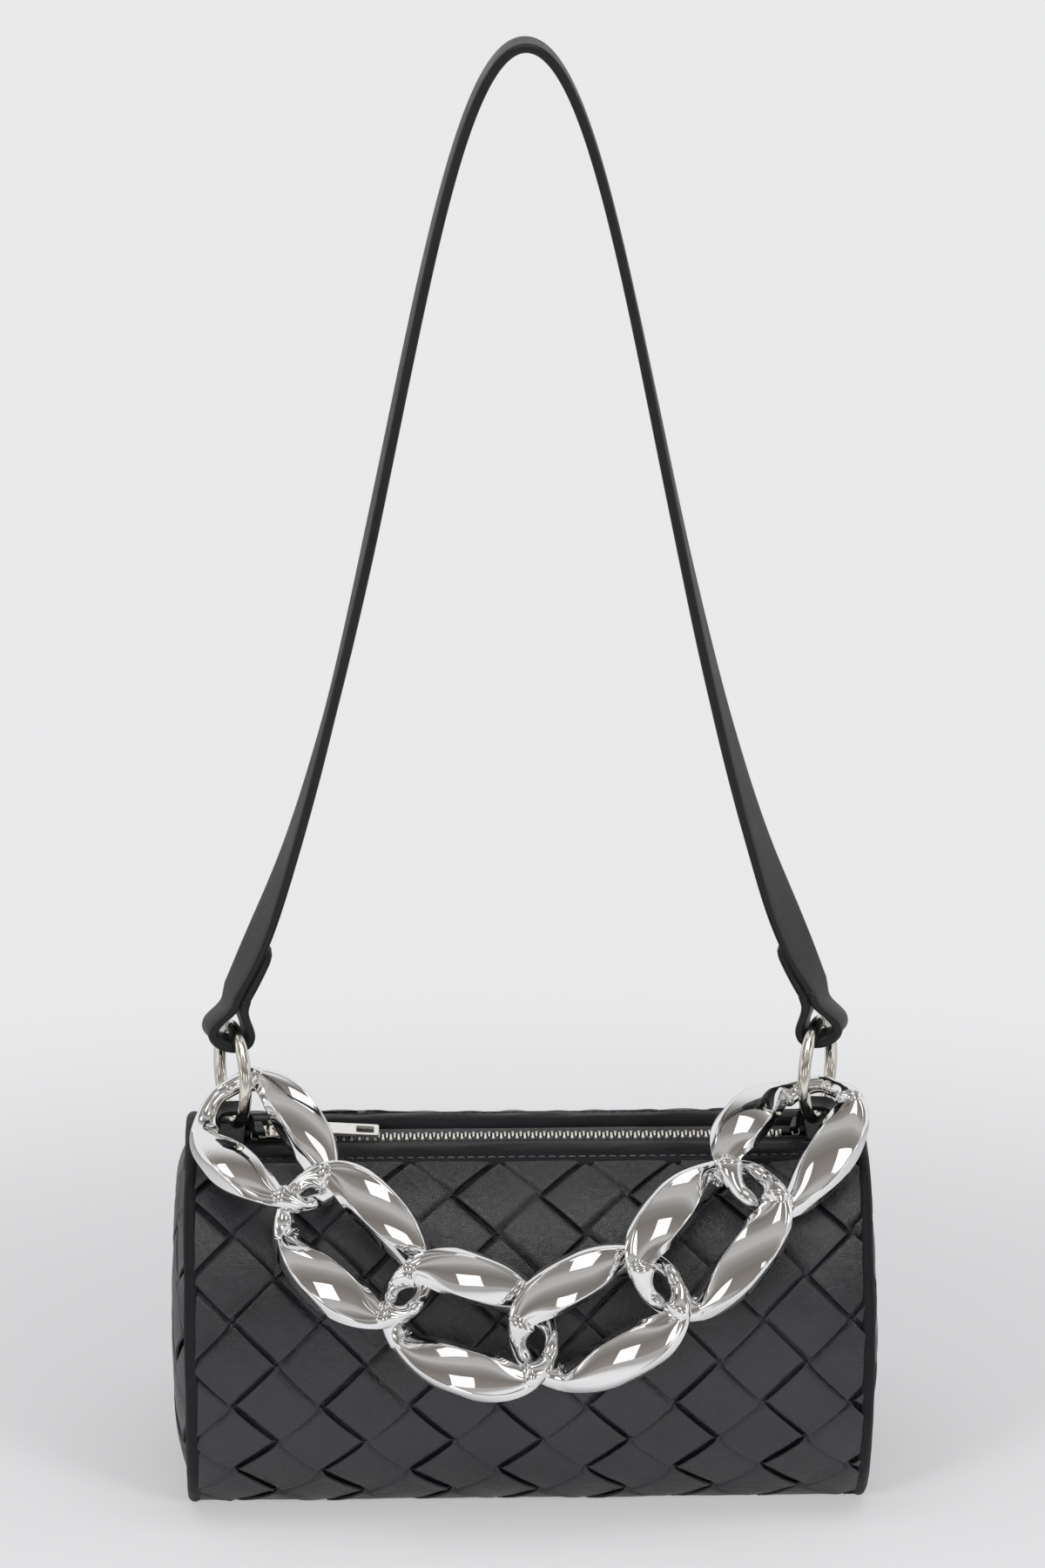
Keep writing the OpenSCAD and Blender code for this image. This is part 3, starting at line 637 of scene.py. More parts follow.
for side, word in FLAPS:
    facing = swept("facing_" + word, facing_rows(side), trim_leather, "bag")
    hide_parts("zip_facing_" + word)

# %% [markdown]
# ## Stitches
#
# A sewing machine leaves short raised dashes with a small gap where the thread dives. Each dash is a tiny
# tube, thicker in the middle. The helper lays them along any line; here it sews down the two facings.

# %% Rows of stitches
def stitches(heap, path, out):
    path, out = np.asarray(path, float), np.asarray(out, float)
    steps = np.linalg.norm(np.diff(path, axis=0), axis=1)
    run = np.concatenate([[0], np.cumsum(steps)])
    count = int(run[-1] / STITCH_PITCH)
    for i in range(count):
        start = (i + 0.5) * run[-1] / count - STITCH_L / 2
        ts = np.linspace(start, start + STITCH_L, 5)
        line = np.stack([np.interp(ts, run, path[:, k]) for k in range(3)], -1)
        away = unit(np.stack([np.interp(ts, run, out[:, k]) for k in range(3)], -1))
        arch = np.sin(np.linspace(0.0, math.pi, 5))
        line = line + away * (arch * THREAD_R * 0.9)[:, None]
        heap.grid(tube(line, THREAD_R * (0.55 + 0.45 * arch), 6), close_across=True, caps=True)


seam_thread = Heap()
for side, fuller in PADDING.items():
    x = np.linspace(-110, 110, 240)
    line = zip_place(x, np.full(x.shape, side * STITCH_S), np.full(x.shape, 0.12 * fuller))
    above = zip_place(x, np.full(x.shape, side * STITCH_S), np.full(x.shape, 1.12 * fuller))
    stitches(seam_thread, line, above - line)
thread_piece = seam_thread.make("seam_stitches", thread_finish, "bag")
print("seam stitches:", seam_thread.count // 30)

# %% [markdown]
# ## Zip tape, teeth and stops
#
# The tape is cloth with a thicker woven cord at the edge that the teeth grip. A metal tooth is a small
# clamp: two legs round the cord and a head with a bump on top that fits into a dimple under the next tooth.
# From above, what one sees is a row of short bright bars whose heads overlap in turn.

# %% Zip tapes
TAPE_R = -2.5
TEETH_L, TOOTH = 180.0, 2.7
for side, word in FLAPS:
    rows = []
    for x in np.linspace(-111.0, 111.0, 120):
        across = [1.5, 1.7, 2.3, 3.0, 3.3, 4.5, 6.5, 9.0, 11.5, 14.8]
        height = [-0.55, -0.1, 0.05, -0.1, -0.35, -0.4, -0.35, -0.42, -0.5, -0.6]
        rows.append(zip_place(x, side * np.array(across), TAPE_R + np.array(height)))
    tape = swept("tape_" + word, rows, tape_cloth, "bag")
    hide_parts("zip_tape_" + word)


# %% Metal teeth
def tooth_rings(x, side):
    """Rounded bar from the tape to just past the middle, with a bump on its head."""
    rings = []
    sway = 0.35 * wander(x, size=31, seed=47)
    low = 0.0 if side > 0 else -0.25
    for across, wide, tall, rise in ((3.1, 0.60, 0.8, -0.25), (2.9, 0.95, 1.15, -0.15), (2.0, 0.86, 1.2, -0.05),
                                     (1.0, 0.46, 1.15, 0.05), (0.25, 0.62, 1.2, 0.16), (-0.4, 0.66, 1.05, 0.18),
                                     (-0.85, 0.38, 0.5, 0.05)):
        ring = []
        for j in range(10):
            q = 2 * math.pi * j / 10
            cx, cz = math.cos(q), math.sin(q)
            dx = math.copysign(abs(cx) ** 0.55, cx) * wide / 2 * 1.25
            dz = math.copysign(abs(cz) ** 0.55, cz) * tall
            ring.append(zip_place(x + dx, side * across + sway, TAPE_R - 0.3 + low + rise + dz))
        rings.append(ring)
    return rings


for side, word in FLAPS:
    row = Heap()
    for i in range(int(TEETH_L / TOOTH)):
        x = -TEETH_L / 2 + (i + (0.25 if side > 0 else 0.75)) * TOOTH
        row.grid(tooth_rings(x, side), close_across=True, caps=True)
    teeth = row.make("teeth_" + word, zip_metal, "bag")
    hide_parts("zip_teeth_" + word)
print("teeth:", 2 * int(TEETH_L / TOOTH))

# %% [markdown]
# ## Bent and cut metal
#
# Stops, slider and pull are small stamped pieces with softened edges. Each starts as a closed outline that
# is given thickness, and a bevel modifier rounds every edge, as tumbling does to real castings.

# %% A softened block from an outline
def slab(name, outline, low, high, place, finish, body, round_mm=0.25, holes=()):
    mesh = bmesh.new()
    loops = [outline] + list(holes)
    edges = []
    for loop in loops:
        verts = [mesh.verts.new((p[0] * MM, p[1] * MM, low * MM)) for p in loop]
        edges += [mesh.edges.new((verts[i], verts[(i + 1) % len(verts)])) for i in range(len(verts))]
    bmesh.ops.triangle_fill(mesh, use_beauty=True, use_dissolve=True, edges=edges)
    grown = bmesh.ops.extrude_face_region(mesh, geom=mesh.faces[:])
    for v in [g for g in grown["geom"] if isinstance(g, bmesh.types.BMVert)]:
        v.co.z = high * MM
    bmesh.ops.recalc_face_normals(mesh, faces=mesh.faces[:])
    bmesh.ops.bevel(mesh, geom=[e for e in mesh.edges if e.calc_face_angle(0) > 0.6], offset=round_mm * MM,
                    segments=3, profile=0.5, affect="EDGES", clamp_overlap=True)
    for v in mesh.verts:
        v.co = Vector(place(np.array(v.co[:]) / MM)) * MM
    data = bpy.data.meshes.new(name)
    mesh.to_mesh(data)
    mesh.free()
    obj = show(data, finish, body)
    obj.modifiers.new("even shading", "WEIGHTED_NORMAL").keep_sharp = True
    return obj


def join(name, parts, *nodes, slot=None):
    """Merges finished parts into one piece and hides the CAD nodes it stands for."""
    bpy.ops.object.select_all(action="DESELECT")
    for part in parts:
        part.select_set(True)
    bpy.context.view_layer.objects.active = parts[0]
    bpy.ops.object.join()
    parts[0].name = name
    if nodes:
        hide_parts(*nodes)
    return parts[0]


def rounded(l, w, r, steps=6, at=(0, 0)):
    """Outline of a rectangle with rounded corners."""
    pts = []
    for cx, cy, a0 in ((l / 2 - r, w / 2 - r, 0), (-l / 2 + r, w / 2 - r, 90), (-l / 2 + r, -w / 2 + r, 180),
                       (l / 2 - r, -w / 2 + r, 270)):
        for i in range(steps + 1):
            q = math.radians(a0 + 90 * i / steps)
            pts.append((at[0] + cx + r * math.cos(q), at[1] + cy + r * math.sin(q)))
    return pts


def mirrored(half, *middle):
    """An outline from its front half, with points between the halves if there are any."""
    return [*half, *middle, *[(x, -y) for x, y in reversed(half)]]


def zip_frame(p, x0=0.0, radius=0.0, tilt=0.0):
    """From a flat drawing (x along the zip, y across to the back, z up) to its place on the leaning zip."""
    x, y, z = p[0], p[1], p[2]
    x, z = x * math.cos(tilt) + z * math.sin(tilt), -x * math.sin(tilt) + z * math.cos(tilt)
    z += radius
    return (x + x0, y * math.cos(LEAN) - z * math.sin(LEAN), AXIS_Z + y * math.sin(LEAN) + z * math.cos(LEAN))


# %% Stops, slider and pull tab
TEETH_TOP = 64.4
stops = [slab("stop", rounded(2.6, 5.0, 0.7), 62.1, TEETH_TOP, lambda p, e=e: zip_frame(p, e * 92.7), nickel, "bag")
         for e in (-1, 1)]
join("zip_end_stops", stops, "zip_stops", slot="pale_nickel")

SLIDER_X = -86.1
shield = mirrored([(-5.25, -2.6), (-4.6, -4.0), (-2.5, -4.5), (0.5, -4.5), (3.2, -3.9), (5.25, -3.0)])
put = lambda p: zip_frame(p, SLIDER_X)
slider = [slab("top plate", shield, 64.75, 66.2, put, nickel, "slider", 0.45),
          slab("under plate", shield, 60.4, 61.6, put, nickel, "slider", 0.35)]
for s in (-1, 1):
    slider.append(slab("flange", rounded(9.6, 1.3, 0.5, at=(0, s * 3.8)), 63.85, 65.6, put, nickel, "slider", 0.3))
arch = []
for t in np.linspace(0, math.pi, 17):
    arch.append(zip_frame((-2.05 * math.cos(t) * (1.0 if abs(math.cos(t)) < 0.9 else 1.02), 0,
                           65.9 + 3.55 * min(1, math.sin(t) * 1.35)), SLIDER_X))
slider.append(swept("crown", tube(arch, 0.62, 10), nickel, "slider", close_across=True, caps=True))
join("zip_slider_metal", slider, "zip_slider", slot="pale_nickel")

PIVOT_R, PULL_L = 67.66, 36.0
DIP = math.asin((PIVOT_R - 0.8 - TEETH_TOP - 0.3) / PULL_L)
lay = lambda p: zip_frame(p, SLIDER_X, PIVOT_R, DIP)
tab_shape = mirrored([(3.9, -2.15), (6.0, -2.6), (9.0, -4.1), (12.0, -4.3), (35.2, -4.3), (35.7, -4.1), (36.0, -3.6)])
slot_hole = [(28.2, -2.9), (28.2, 2.9), (34.2, 2.9), (34.2, -2.9)]
pull = [slab("pull plate", tab_shape, -0.8, 0.8, lay, zip_metal, "puller", 0.35, holes=[slot_hole])]
eye_line = [lay((x, y, 0)) for x, y in mirrored([(4.3, -2.0), (2.0, -2.5), (0.6, -2.4), (0.0, -1.7)], (0, 0))]
eye_wire = tube(eye_line, [0.7, 0.65, 0.6, 0.58, 0.58, 0.58, 0.6, 0.65, 0.7], 10)
pull.append(swept("pull eye", eye_wire, nickel, "puller", close_across=True, caps=True))
join("pull_tab_metal", pull, "zip_puller", slot="pale_nickel")

# %% [markdown]
# ## Straps of thick leather
#
# Tabs and shoulder strap are the same thing at two sizes: a flat strip with painted, rounded edges that is
# bent round a ring. A strip is described by stations along its middle line. Each station gives the way
# across the strip and the way through it, and a small rounded rectangle is drawn there.

# %% Cross-section of a flat strip with rounded edges
def strip_ring(middle, across, through, width, thick, sag, crown):
    half, t = width / 2, thick / 2
    r = t * 0.85
    face = [(w, t + crown * (1 - (w / half) ** 2)) for w in (-half + r, -half * 0.5, 0, half * 0.5, half - r)]
    face += [(half - r + r * math.cos(math.radians(q)), t * math.sin(math.radians(q))) for q in (60, 30, 0, -30, -60)]
    # The other face and edge are the same, half a turn round the middle
    pts = face + [(-w, -h) for w, h in face]
    return [middle + across * w + through * h - np.array([0, 0, sag(w)]) for w, h in pts]


RING_X, RING_R, WIRE_R = 100.0, 16.75, 2.1
RING_Y, RING_Z = -7.317, 147.03
TAB_W, TAB_T, TAB_TURNS = 12.6, 1.5, {-1: 8, 1: 10}


def ring_dip(w):
    """How far the ring has fallen away at a distance w beside its top."""
    return RING_R - math.sqrt(RING_R ** 2 - min(abs(w), 16) ** 2)


def level(side, turn):
    q = math.radians(turn)
    return np.array([math.cos(q), -side * math.sin(q), 0])


def turned(side, turn):
    q = math.radians(turn)
    return np.array([side * math.sin(q), math.cos(q), 0])


# %% Tabs that hold the rings
def tab_piece(side, word):
    off, across = level(side, TAB_TURNS[side]), turned(side, TAB_TURNS[side])
    base = np.array([side * RING_X, RING_Y, 0])
    top = RING_Z - RING_R
    rings = []
    deck = AXIS_Z + 65.6
    half = [(-7.0, deck + 0.9, 0.0), (-6.1, deck + 1.7, 0.1), (-5.95, deck + 3.0, 0.4), (-5.9, top - 0.6, 0.8),
            (-5.6, top + 1.6, 1), (-4.4, top + 3.0, 1), (-2.3, top + 3.45, 1)]
    lines = [(-8.8, deck + 0.7, 0.0), (-7.9, deck + 0.7, 0.0), *half, (0, top + 3.5, 1),
             *[(-o, z, bend) for o, z, bend in reversed(half)], (8.6, deck + 0.7, 0.0), (10.4, deck + 0.7, 0.0)]
    for i, (o, z, bend) in enumerate(lines):
        before, after = lines[max(i - 1, 0)], lines[min(i + 1, len(lines) - 1)]
        run = unit(np.array([after[0] - before[0], after[1] - before[1]]))
        through = off * -run[1] + np.array([0, 0, run[0]])
        rings.append(strip_ring(base + off * o + np.array([0, 0, z - 0.05]), across, through, TAB_W, TAB_T,
                                lambda w, b=bend: -ring_dip(w) * b, 0.05))
    return swept("ring_tab_" + word, rings, trim_leather, "bag", close_across=True, caps=True)


for side, word in ENDS:
    tab = tab_piece(side, word)
    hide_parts("tab_" + word)
    plate = slab("zip_end_patch_" + word, rounded(15.2, 18.4, 2.0, at=(side * 103.6, 0)), 63.7, 65.05,
                 zip_frame, trim_leather, "bag", 0.5)
    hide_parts("zip_patch_" + word)

# %% [markdown]
# ## Rings
#
# The rings are drawn wire, bent to a circle and brazed shut. A torus primitive would do, but a wire swept
# along a circle can carry the joint too: a shallow groove and a slight thickening where the ends were joined,
# turned up into the strap's fold, where a maker would hide it.

# %% Two rings of brazed wire
RING_TURNS, TOP = {-1: 16, 1: 20}, math.pi / 2
for side, word in ENDS:
    lev, acr = level(side, RING_TURNS[side]), turned(side, RING_TURNS[side])
    middle = np.array([side * RING_X, RING_Y, RING_Z])
    turns = np.concatenate([np.linspace(0, 2 * math.pi, 100, endpoint=False), TOP + np.array([-0.02, 0, 0.02])])
    rings = []
    for q in np.unique(np.round(turns, 6)):
        away = acr * math.cos(q) + np.array([0, 0, math.sin(q)])
        thick = WIRE_R + (np.exp(-((q - TOP) / 0.10) ** 2) * 0.04 - np.exp(-((q - TOP) / 0.012) ** 2) * 0.10)
        rings.append([middle + RING_R * away + away * thick * math.cos(v) + lev * thick * math.sin(v)
                      for v in np.linspace(0, 2 * math.pi, 24, False)])
    ring = swept("wire_ring_" + word, rings, nickel, "ring_" + word, close_rows=True, close_across=True)
    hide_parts("ring_" + word)

# %% [markdown]
# ## Inside the bag
#
# The lining is a thin cloth tube inside the wall, open under the zip. It is only seen when the zip is
# open, but it is cloth all the same, so it is a sheet with shallow gathers and not the smooth CAD shell. The
# base board is a stiff, flat card, so its CAD shape stays and only takes a finish.

# %% Lining and base board
gather_s = np.linspace(math.radians(21.5) * BODY_R, AROUND - math.radians(9.5) * BODY_R, 150)
gather_x = np.linspace(-110.9, 110.9, 100)
rows = []
for a in gather_x:
    puffs = np.array([0.16 * wander(a, b * 0.3, size=11, seed=41) for b in gather_s])
    rows.append(on_barrel(np.full(gather_s.shape, a), gather_s, -2.95 + puffs, False))
lining = swept("lining_cloth", rows, lining_cloth, "bag")
lining.modifiers.new("cloth thickness", "SOLIDIFY").thickness = 0.45 * MM
lining.modifiers["cloth thickness"].offset = 0
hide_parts("lining")
board = frame["nodes"]["base_board"]
board.data.materials.clear()
board.data.materials.append(board_finish)

# %% [markdown]
# ## The shoulder strap
#
# One long strap, 18 mm wide at the shoulder and a little narrower at its ends. Each end comes down outside
# its ring, turns under the wire and lies against the leg on the inner side. On its way up the strap twists:
# near the rings its outer face looks half to the front, and higher up it shows little more than its edge.
# The folds lean over their wires towards the middle of the bag.
# The middle line is a Bezier curve, and a short table gives the twist at some heights above the rings.

# %% The strap's middle line and its twist
STRAP_W, STRAP_END_W, STRAP_T, STRAP_RISE, STRAP_CROWN = 18.0, 14.8, 3.2, 353.0, 0.12
# The two middle points of the leg's Bezier curve: one is a share of RING_X and of STRAP_RISE, the other is
# at full height and gives its share of RING_X
LEG_PULL, LEG_TOP = (0.475, 0.37), 0.345
FOLD_PLAY = 5.8
FOLD_HALF = WIRE_R + FOLD_PLAY / 2 + STRAP_T / 2
FOLD_L, FOLD_GAP = 29.0, 0.8
PLY_HALF = STRAP_T / 2 + 0.1
FOLD_Z0, FOLD_Z1 = RING_R, RING_R + WIRE_R + FOLD_HALF * 1.6
# The plies already meet at this height, so that the opening over the wire stays small
FOLD_SHUT = RING_R + WIRE_R + FOLD_HALF * 1.1
FOLD_LEAN, FOLD_OUT = math.radians(15), 0.2 * FOLD_PLAY
TWIST_HEIGHTS = [0, 24, 36, 48, 60, 72, 92, 128, 186, 270, 353]
TWIST_TURNS = {-1: [9.6, 12, 24, 23, 16, 10, 5, 0, 3, 2, 0], 1: [12, 14, 35, 37, 31, 23, 17, 10, 4, 1, 0]}
ring_middle = {s: np.array([s * RING_X, RING_Y, RING_Z]) for s in (-1, 1)}


def strap_turn(side, height):
    """Degrees by which the outer face looks to the front at this height, smoothed over 16 mm."""
    near = height + np.linspace(-8, 8, 9)
    return float(np.interp(near, TWIST_HEIGHTS, TWIST_TURNS[side]).mean())


def bezier(p, t):
    s = 1 - t
    return p[0] * s ** 3 + p[1] * 3 * s * s * t + p[2] * 3 * s * t * t + p[3] * t ** 3


def leaned(side, turn, out, up):
    """Steps outward and upward in a fold, which leans over its wire towards the middle of the bag."""
    return (side * (level(side, turn) * out * math.cos(FOLD_LEAN) - np.array([up * math.sin(FOLD_LEAN), 0, 0]))
            + [0, 0, out * math.sin(FOLD_LEAN) + up * math.cos(FOLD_LEAN)])


def fold_place(side, turn, off, height):
    return ring_middle[side] + [side * FOLD_OUT, 0, RING_R] + leaned(side, turn, off, height - RING_R)


def leg_curve(side):
    return [fold_place(side, 0, PLY_HALF, FOLD_Z1)] + [np.array([side * x, RING_Y, RING_Z + z]) for x, z in
            ((RING_X * LEG_PULL[0], STRAP_RISE * LEG_PULL[1]), (RING_X * LEG_TOP, STRAP_RISE), (0, STRAP_RISE))]


# %% Stations of one half of the strap
def leg_station(side, t):
    """A station is the middle, the ways across and through the strap, its width and how much it bends."""
    p = leg_curve(side)
    low = min(0.999, t)
    at, run = bezier(p, t), unit(bezier(p, low + 0.001) - bezier(p, low))
    outward = unit(np.cross([0, 1, 0], run)) * side
    w = math.radians(strap_turn(side, at[2] - RING_Z))
    across = np.array([0, math.cos(w), 0]) + outward * math.sin(w)
    through = outward * math.cos(w) - np.array([0, math.sin(w), 0])
    return at, across, through, mix(STRAP_END_W, STRAP_W, float(ease(t * 8))), 0.0


def fold_station(side, off, height, dive, bend):
    """Off is the distance from the fold's middle, and dive turns the outer face down round the wire."""
    turn = strap_turn(side, height)
    q = math.radians(dive)
    return (fold_place(side, turn, off, height), turned(side, turn),
            unit(leaned(side, turn, -math.cos(q), -math.sin(q))), STRAP_END_W, bend)


def ply_off(height):
    return float(mix(FOLD_HALF, PLY_HALF, ease((height - FOLD_Z0) / (FOLD_SHUT - FOLD_Z0))))


def half_strap(side):
    curve = leg_curve(side)
    end_t = (FOLD_L + RING_R + WIRE_R - FOLD_Z1) / (np.linalg.norm(curve[1] - curve[0]) * 3)
    out = []
    for t in np.linspace(end_t, 0, 14):
        at, across, through, width, bend = leg_station(side, t)
        tip = math.sqrt(max(0.0, 1 - (1 - (end_t - t) / end_t * 4) ** 2)) if t > end_t * 0.75 else 1.0
        out.append((at - through * 2 * PLY_HALF, across, -through, STRAP_END_W * mix(0.45, 0.94, tip), 0.0))
    for h in np.linspace(FOLD_Z1, FOLD_Z0 + 1, 12)[1:]:
        out.append(fold_station(side, -ply_off(h), h, 0, float((FOLD_Z1 - h) / (FOLD_Z1 - FOLD_Z0))))
    drop = WIRE_R + FOLD_GAP + STRAP_T / 2
    for a in np.linspace(0, 180, 25):
        q = math.radians(a)
        out.append(fold_station(side, -FOLD_HALF * math.cos(q), FOLD_Z0 - drop * max(0, math.sin(q)) ** 0.8, a, 1.0))
    for t in np.linspace(0, 1, 12)[1:-1]:
        h = mix(FOLD_Z0, FOLD_Z1, t)
        out.append(fold_station(side, ply_off(h), h, 180, 1 - t))
    first = len(out)
    out += [leg_station(side, t) for t in np.linspace(0, 1, 90)]
    return out, first


# %% Sweep the strap
left, fold_end = half_strap(-1)
right = half_strap(1)[0]
stations = left + right[-2::-1]


rings = [strip_ring(at, across, through, width, STRAP_T, lambda w, b=bend: b * ring_dip(w), STRAP_CROWN)
         for at, across, through, width, bend in stations]
strap = swept("strap_leather", rings, strap_leather, "strap", close_across=True, caps=True)
strap.data.materials.append(raw_edge)
# Of the 20 faces of each ring, these lie on the strap's two rounded edges
EDGE_FACES = (5, 6, 7, 8, 15, 16, 17, 18)
for number, face in enumerate(strap.data.polygons):
    if number < (len(stations) - 1) * 20 and number % 20 in EDGE_FACES:
        face.material_index = 1
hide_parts("shoulder_strap")
print("strap stations:", len(stations), "fold ends after", fold_end)

# %% [markdown]
# ## The chain
#
# The six links are all the same casting. Seen flat, a link is a rounded oval. Each long side is a fat leaf
# with a domed face; the short ends are thin so that the next link can turn there. The oval is twisted, as
# in any curb chain, which is what lets the links lie flat against the bag.

# %% The shape of one link
LINK_L, LINK_W, LOBE_W, LOBE_T, BAR_D, TWIST = 62.5, 48.0, 17.2, 10.6, 5.8, 6.1
LEAD, TAPER, SQUARE, LEVEL = 7.0, 2.4, 2.35, 1.4


def signed_power(v, p):
    return np.sign(v) * np.abs(v) ** p


def link_middle(u):
    q = np.radians(u)
    a, b = LINK_L / 2 - BAR_D / 2, LINK_W / 2 - LOBE_W / 2
    return np.stack([a * signed_power(np.cos(q), 2 / SQUARE), b * signed_power(np.sin(q), 2 / SQUARE),
                     -TWIST * signed_power(np.sin(2 * q), LEVEL)], -1)


# The section of a fat side goes from its outer edge over the top and back underneath. Across runs from 1 at
# the outer edge to -1 at the hole. Two creases, which meet at the leaf's tips, frame the domed face; outside
# them lie a broad bevel and the steep wall of the hole. Points set close beside a crease keep it crisp. The
# face's middle follows one plain curve from tip to tip, or its mirror image of the room would wobble.
LEAF_HALF, FACE_CURVE, DOME = 50.0, (6.0, 0.266, -0.00821), 0.85


def steps_between(count):
    return np.concatenate([[0, 0.04], np.linspace(0.04, 0.96, count)[1:-1], [0.96, 1]])


def leaf_section(grown, foot, crest, deep):
    """Across and height of a section: grown is 0 at the leaf's tips and 1 in its middle, foot is the height
    of the link's middle line there, crest that of the face and deep the thickness under the middle line."""
    outer, inner = mix(0.40, 0.72, grown ** 0.75), mix(0.40, -0.84, grown ** 0.75)
    crease = crest - DOME * mix(0.3, 1.0, grown)
    points = [(mix(1.0, outer, t), mix(foot, crease, math.sin(t * math.pi / 2) ** 0.9))
              for t in steps_between(8)[:-1]]
    points += [(mix(outer, inner, t), mix(crest, crease, (2 * t - 1) ** 2)) for t in steps_between(17)]
    points += [(mix(inner, -1.0, t ** 0.7), mix(crease, foot, t)) for t in steps_between(6)[1:]]
    points += [(-math.cos(math.pi * t), foot - deep * math.sin(math.pi * t) ** 0.8)
               for t in np.linspace(0, 1, 14)[1:-1]]
    return np.array(points)


def link_points(steps=220):
    u = np.arange(steps) * 360 / steps
    c = link_middle(u)
    run = unit(link_middle(u + 0.1) - link_middle(u - 0.1))
    out = unit(np.cross(run, [0, 0, 1]))
    top = np.cross(out, run)
    fat = np.abs(np.sin(np.radians(u - LEAD))) ** TAPER
    wide, thick = mix(BAR_D, LOBE_W, fat) / 2, mix(BAR_D, LOBE_T, fat) / 2
    from_middle = np.mod(u - LEAD, 180) - 90
    grown = np.clip(1 - (from_middle / LEAF_HALF) ** 2, 0, 1)
    whole = leaf_section(1.0, 0.0, 1.0, 1.0)
    turns = np.arctan2(whole[:, 1], whole[:, 0])
    rings = []
    for i in range(steps):
        along = c[i, 0] * (1 if u[i] > 180 else -1)
        crest = FACE_CURVE[0] + FACE_CURVE[1] * along + FACE_CURVE[2] * along ** 2
        leaf, blend = leaf_section(grown[i], c[i, 2], crest, 0.85 * thick[i]), ease(grown[i] / 0.22)
        # Towards its tips the leaf also draws in on the side of the hole
        inward = mix(0.70, 1.0, ease(grown[i]))
        w = np.where(leaf[:, 0] < 0, leaf[:, 0] * inward, leaf[:, 0]) * wide[i]
        flat = np.array([c[i, 0], c[i, 1], 0]) + out[i] * w[:, None] + np.array([0, 0, 1]) * leaf[:, 1:2]
        bar = c[i] + (out[i] * np.cos(turns)[:, None] * wide[i] + top[i] * np.sin(turns)[:, None] * thick[i])
        rings.append(mix(bar, flat, blend))
    return np.array(rings)


# %% Where the links meet
CHAIN_R = BODY_R + 12.2
LINK_PITCH = 47.2
PITCH = LINK_PITCH * np.array([1.05, 1.05, 0.99, 1, 1, 1])
ANGLES = np.radians([58.5, 47.5, 49.5, 55])
ROLLS = [1, 0, 4, 4, -5, -12]
HOOKS = {-1: (1, 10.5, 5.5), 1: (1, 11, 6)}


def on_chain(p):
    q = p[1] / CHAIN_R
    return np.array([p[0], -CHAIN_R * math.sin(q), AXIS_Z + CHAIN_R * math.cos(q)])


def hook(side):
    h = HOOKS[side]
    return np.array([side * (RING_X + h[0]), RING_Y - h[1], RING_Z - h[2]])


def first_joint(side, a, pitch):
    s0 = CHAIN_R * math.asin((HOOKS[side][1] - RING_Y) / CHAIN_R)
    lo, hi = s0, s0 + LINK_PITCH
    for _ in range(24):
        s = (lo + hi) / 2
        p = np.array([hook(side)[0] - side * (s - s0) * math.cos(a) / math.sin(a), s])
        if np.linalg.norm(on_chain(p) - hook(side)) > pitch:
            hi = s
        else:
            lo = s
    return p


j1, j5 = first_joint(-1, ANGLES[0], PITCH[0]), first_joint(1, ANGLES[3], PITCH[5])
j2 = j1 + PITCH[1] * np.array([math.cos(ANGLES[1]), math.sin(ANGLES[1])])
j4 = j5 + PITCH[4] * np.array([-math.cos(ANGLES[2]), math.sin(ANGLES[2])])
span = j4 - j2
far = np.linalg.norm(span)
reach = (far ** 2 + PITCH[2] ** 2 - PITCH[3] ** 2) / (2 * far)
j3 = j2 + span / far * reach + np.array([-span[1], span[0]]) / far * math.sqrt(PITCH[2] ** 2 - reach ** 2)
JOINTS = [hook(-1)] + [on_chain(p) for p in (j1, j2, j3, j4, j5)] + [hook(1)]
print("lowest chain joint:", np.round(JOINTS[3], 1))

# %% Place the six links
shape = link_points()
for i in range(6):
    middle, run = (JOINTS[i] + JOINTS[i + 1]) / 2, unit(JOINTS[i + 1] - JOINTS[i])
    out = unit(np.array([0, middle[1], middle[2] - AXIS_Z]))
    out = unit(out - run * (out @ run))
    up = np.cross(out, run)
    roll = math.radians(ROLLS[i])
    out = out * math.cos(roll) + up * math.sin(roll)
    up = np.cross(out, run)
    placed = middle + shape[..., 0:1] * run + shape[..., 1:2] * up + shape[..., 2:3] * out
    link = swept("curb_link_%d" % (i + 1), placed, chrome, "link_%d" % (i + 1), close_rows=True, close_across=True)
    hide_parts("chain_link_%d" % (i + 1))

# %% [markdown]
# ## Floor, backdrop and light
#
# The bag stands on a seamless pale sheet. Whatever looks at the world directly sees the same pale tone, and as
# a light the world is dimmer. A mirror sees a room of its own: grey in front, with rows of bright windows,
# and pale at the sides and behind, so the metal has something bright and something dark to show. Two soft
# lamps in front and a wide one above light the leather.

# %% Floor
PALE = (0.815, 0.818, 0.828, 1)


def ray_is(wire, *kinds):
    """A number that is 1 for the named kinds of ray."""
    ray = wire.add("ShaderNodeLightPath")
    total = ray.outputs[kinds[0]]
    for kind in kinds[1:]:
        total = wire.maths("ADD", total, ray.outputs[kind], clamp=True)
    return total


